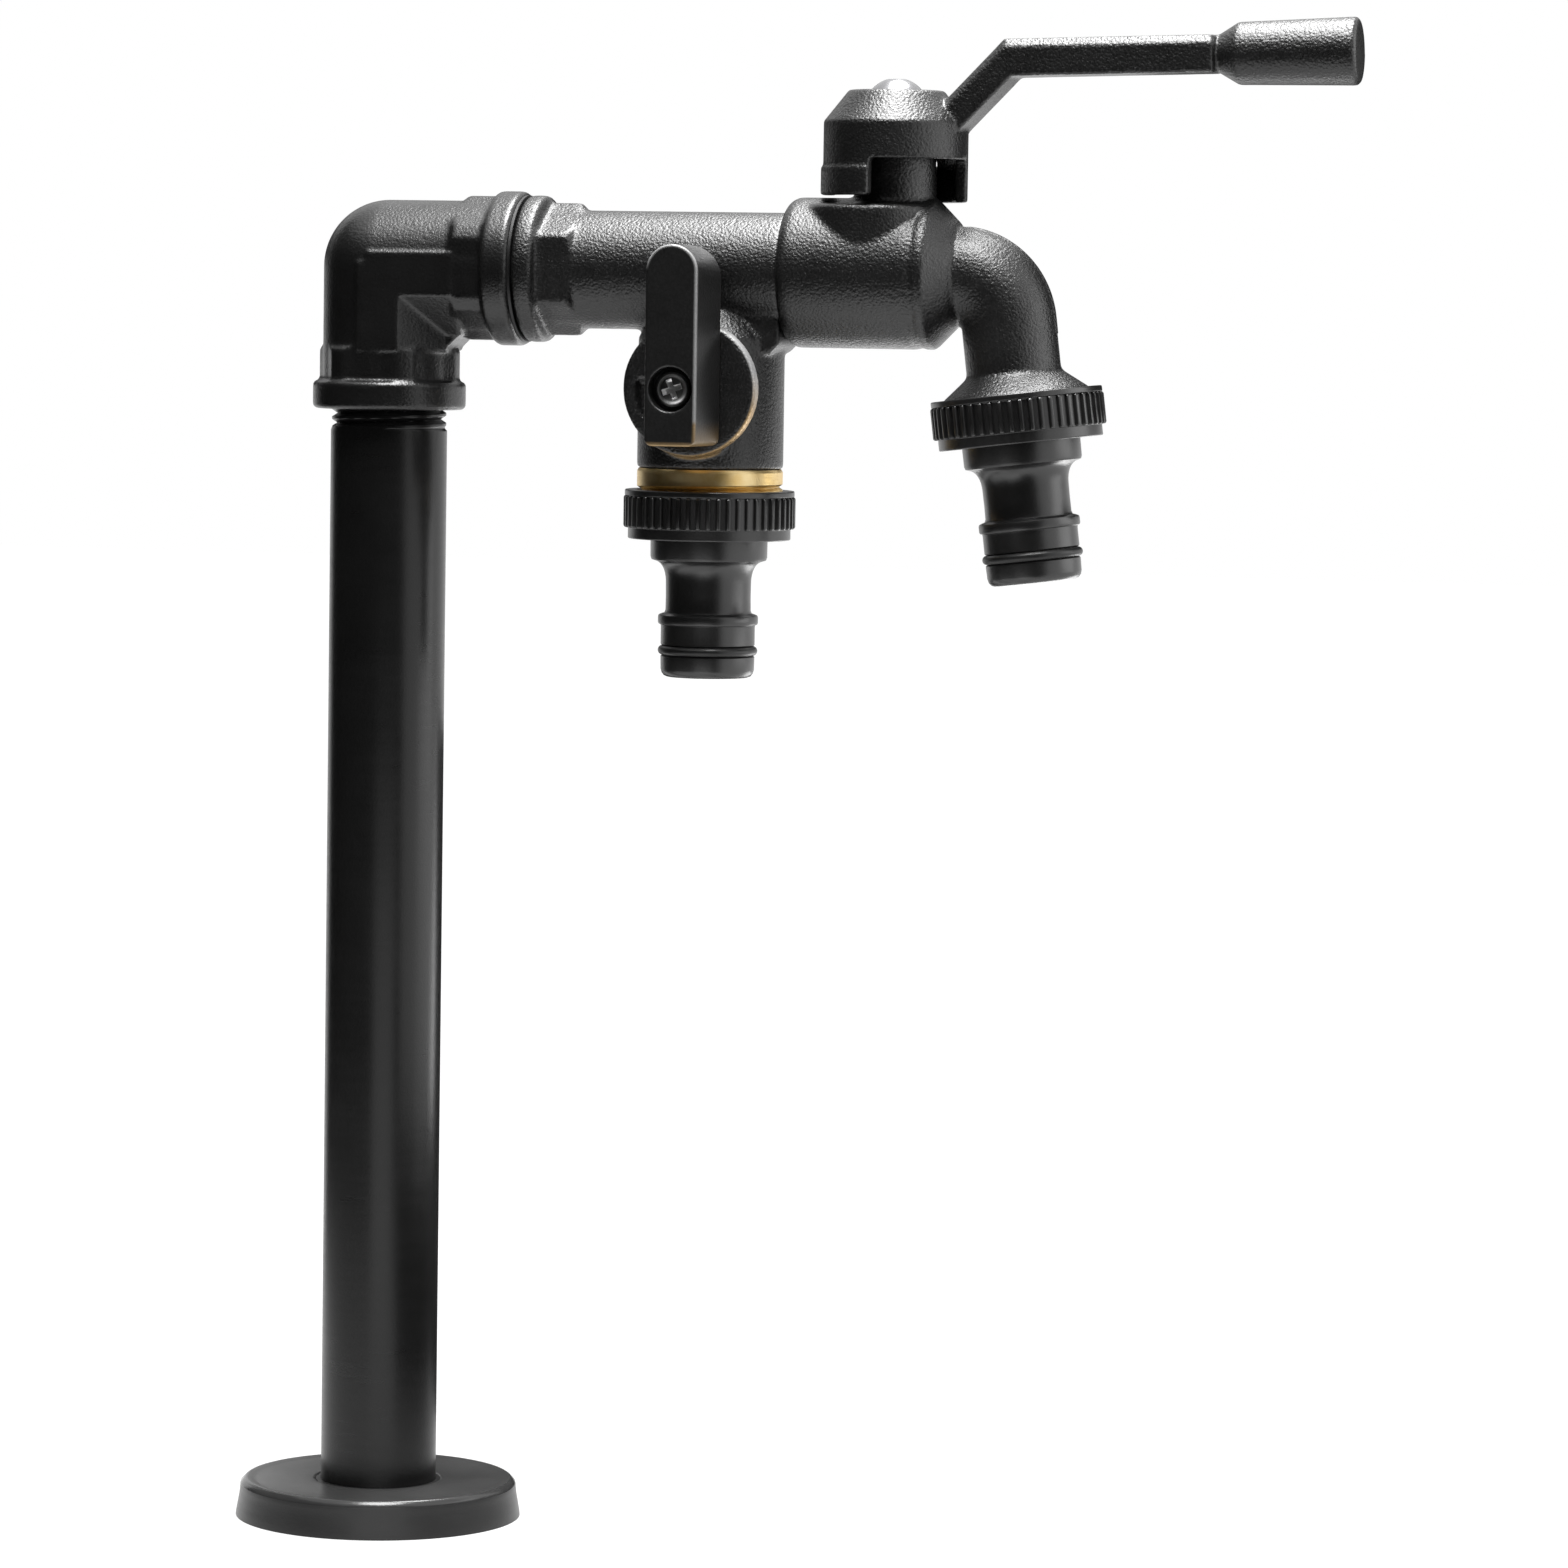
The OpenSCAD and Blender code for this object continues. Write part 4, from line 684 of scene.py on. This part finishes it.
spout_tilt = math.radians(-7)
front_outlet = (Matrix.Translation((117.89 * mm, 0, 206.06 * mm))
                @ Matrix.Rotation(spout_tilt, 4, "Y"))
branch_outlet = Matrix.Translation((branch_x * mm, 0, branch_outlet_z * mm))
hose_bore_r, nipple_flange_r, nipple_collar_r = 5.0, 12.92, 10.65
nipple_neck_r, nipple_tip_r = 7.75, 8.55
groove_r, groove_top_z, groove_foot_z, nipple_foot_z = 7.3, -24.3, -26.1, -30.0
nipple_outline = (
    [(hose_bore_r, -1.8), (nipple_flange_r, -1.8), (nipple_flange_r, -3.6), (nipple_collar_r, -3.6),
     (10.6, -8.2), (10.4, -8.75), (9.9, -8.9)]
    + [(nipple_neck_r + 2.4 * (1 - math.sin(a)) ** 1.15, -8.9 - 4.2 * (1 - math.cos(a)))
       for a in steps_between(0.12, math.pi / 2, 10)]
    + [(7.72, -15.5), (nipple_neck_r, -17.9), (7.95, -18.4), (8.6, -18.62), (8.98, -18.8),
       (9.1, -19.1), (9.1, -20.1), (8.98, -20.4), (8.6, -20.55), (nipple_tip_r, -20.9),
       (nipple_tip_r, -24.1), (8.35, groove_top_z), (groove_r, groove_top_z),
       (groove_r, groove_foot_z), (8.35, groove_foot_z), (nipple_tip_r, -26.3), (8.5, -28.6),
       (8.3, -29.3), (7.9, -29.8), (7.4, nipple_foot_z), (5.4, nipple_foot_z), (hose_bore_r, -29.6)]
)
for side, spot in (("front", front_outlet), ("branch", branch_outlet)):
    union_nut(side + "_union_nut", spot, side + "_hose_nut")
    nipple = turned(side + "_nipple", nipple_outline, nylon, 112, None, spot)
    fitted(nipple, "standpipe", side + "_hose_nipple")


# Hidden and small pieces: the CAD solids, each in its own finish. Balls are plated brass, seats and
# packing PTFE, spindles brass, seals rubber, the fixing flange zinc-plated steel and the handle's
# domed screw polished steel.
def plated(name, colour, gloss, depth, shade=None):
    """Plated or polished metal with fine wipe marks. Shade gives the share of the colour that
    shows, from the place on the piece."""
    wipe_size, stain_size, stain_share = 0.5 * mm, 6 * mm, 0.86
    material, place = finish(name)
    wipes = grains(place, wipe_size, 3, (1, 0.3, 1))
    stains = grains(place, stain_size, 3)
    stained = tuple(part * stain_share for part in colour[:3]) + (1,)
    tone = stains.over(0.3, 0.7).between(colour, stained)
    if shade:
        tone = shade(place).between(grey(0.0), tone)
    coat(place, tone, gloss + wipes * 0.08 + stains * 0.06, wipes, depth, Metallic=1.0)
    return material


polished_steel = plated("polished_steel", (0.36, 0.36, 0.37, 1), gloss=0.20, depth=0.01 * mm)
zinc_steel = plated("zinc_steel", (0.62, 0.64, 0.66, 1), gloss=0.28, depth=0.02 * mm)
white_seal = moulded_nylon("white_seal", tone=0.60, gloss=0.35)
node_finishes = {
    "cover_ring": rubber, "inlet_seal": rubber, "body_ring": rubber, "main_stem_rings": rubber,
    "branch_stem_rings": rubber, "front_hose_washer": rubber, "branch_hose_washer": rubber,
    "front_hose_ring": rubber, "branch_hose_ring": rubber, "base_flange": zinc_steel,
    "main_ball": polished_steel, "branch_ball": polished_steel, "handle_screw": polished_steel,
    "main_stem": brass, "branch_stem": brass, "gland_nut": brass,
    "main_seat_inlet": white_seal, "main_seat_outlet": white_seal, "main_thrust_washer": white_seal,
    "stem_packing": white_seal, "branch_seat_upper": white_seal, "branch_seat_lower": white_seal,
    "branch_thrust_washer": white_seal,
}
for node, material in node_finishes.items():
    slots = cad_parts[node].data.materials
    slots.clear()
    slots.append(material)

# Lever screw: a plated steel pan head with a cross recess, driven into the side spindle to hold
# the lever. Its head is dark, and its cross recess is painted bright as a painted highlight.
screw_floor, screw_head_h, screw_head_r, screw_shank_r, screw_len = 25.9, 1.8, 3.3, 1.45, 6.4
rim_share, recess_turn, wing_len, wing_w, wing_h, wing_taper = 0.35, 0.35, 5.2, 1.5, 2.6, 0.55


def recess_painted_highlight(place):
    """The lever screw's cross recess, painted bright as a painted highlight, under a darker head.
    """
    dark_head_r, highlight_r, head_share = 2.8 * mm, 2.6 * mm, 0.15
    x, y, z = axes(place)
    arm, rise = x - side_spindle_x * mm, z - side_spindle_z * mm
    inside = (arm * arm + rise * rise).over(dark_head_r ** 2, highlight_r ** 2)
    front = -(screw_floor + screw_head_h) * mm
    depth = y.over(front + 0.25 * mm, front + 0.4 * mm)
    return inside * depth * (1 - head_share) + head_share


# The screw's finish: a darker head, and a painted highlight in its cross recess.
zinc_painted_recess = plated("zinc_painted_recess", (0.95, 0.95, 0.95, 1), gloss=0.27, depth=0.02 * mm,
                   shade=recess_painted_highlight)
to_front = (Matrix.Translation((side_spindle_x * mm, -screw_floor * mm, side_spindle_z * mm))
            @ Matrix.Rotation(math.radians(90), 4, "X"))
head = [(0, -screw_len), (screw_shank_r, -screw_len), (screw_shank_r, 0), (screw_head_r, 0),
        (screw_head_r, screw_head_h * rim_share)]
head += [(screw_head_r * math.cos(a), screw_head_h * (rim_share + (1 - rim_share) * math.sin(a)))
         for a in steps_between(0.15, 1.4, 9)] + [(0, screw_head_h)]
lever_screw = turned("lever_screw_head", head, zinc_painted_recess, 64)
recess_work = bmesh.new()
for angle in (recess_turn, recess_turn + math.pi / 2):
    wing = bmesh.ops.create_cube(recess_work, size=1)["verts"]
    for vertex in wing:
        taper = 1.0 if vertex.co.z > 0 else wing_taper
        vertex.co = Vector((vertex.co.x * wing_len * taper, vertex.co.y * wing_w * taper,
                            screw_head_h + vertex.co.z * wing_h)) * mm
    bmesh.ops.rotate(recess_work, verts=wing, cent=(0, 0, 0),
                     matrix=Matrix.Rotation(angle, 3, "Z"))
recess_mesh = bpy.data.meshes.new("cross_recess")
recess_work.to_mesh(recess_mesh)
recess_work.free()
recess = bpy.data.objects.new("cross_recess", recess_mesh)
bpy.context.scene.collection.objects.link(recess)
cut = lever_screw.modifiers.new("cut", "BOOLEAN")
cut.operation, cut.solver, cut.object, cut.use_self = "DIFFERENCE", "EXACT", recess, True
cut_mesh = bpy.data.meshes.new_from_object(
    lever_screw.evaluated_get(bpy.context.evaluated_depsgraph_get()))
bpy.data.objects.remove(lever_screw)
bpy.data.objects.remove(recess)
work = bmesh.new()
work.from_mesh(cut_mesh)
lever_screw = shaded("lever_screw_head", work, zinc_painted_recess, to_front)
fitted(lever_screw, "side_valve", "lever_screw")
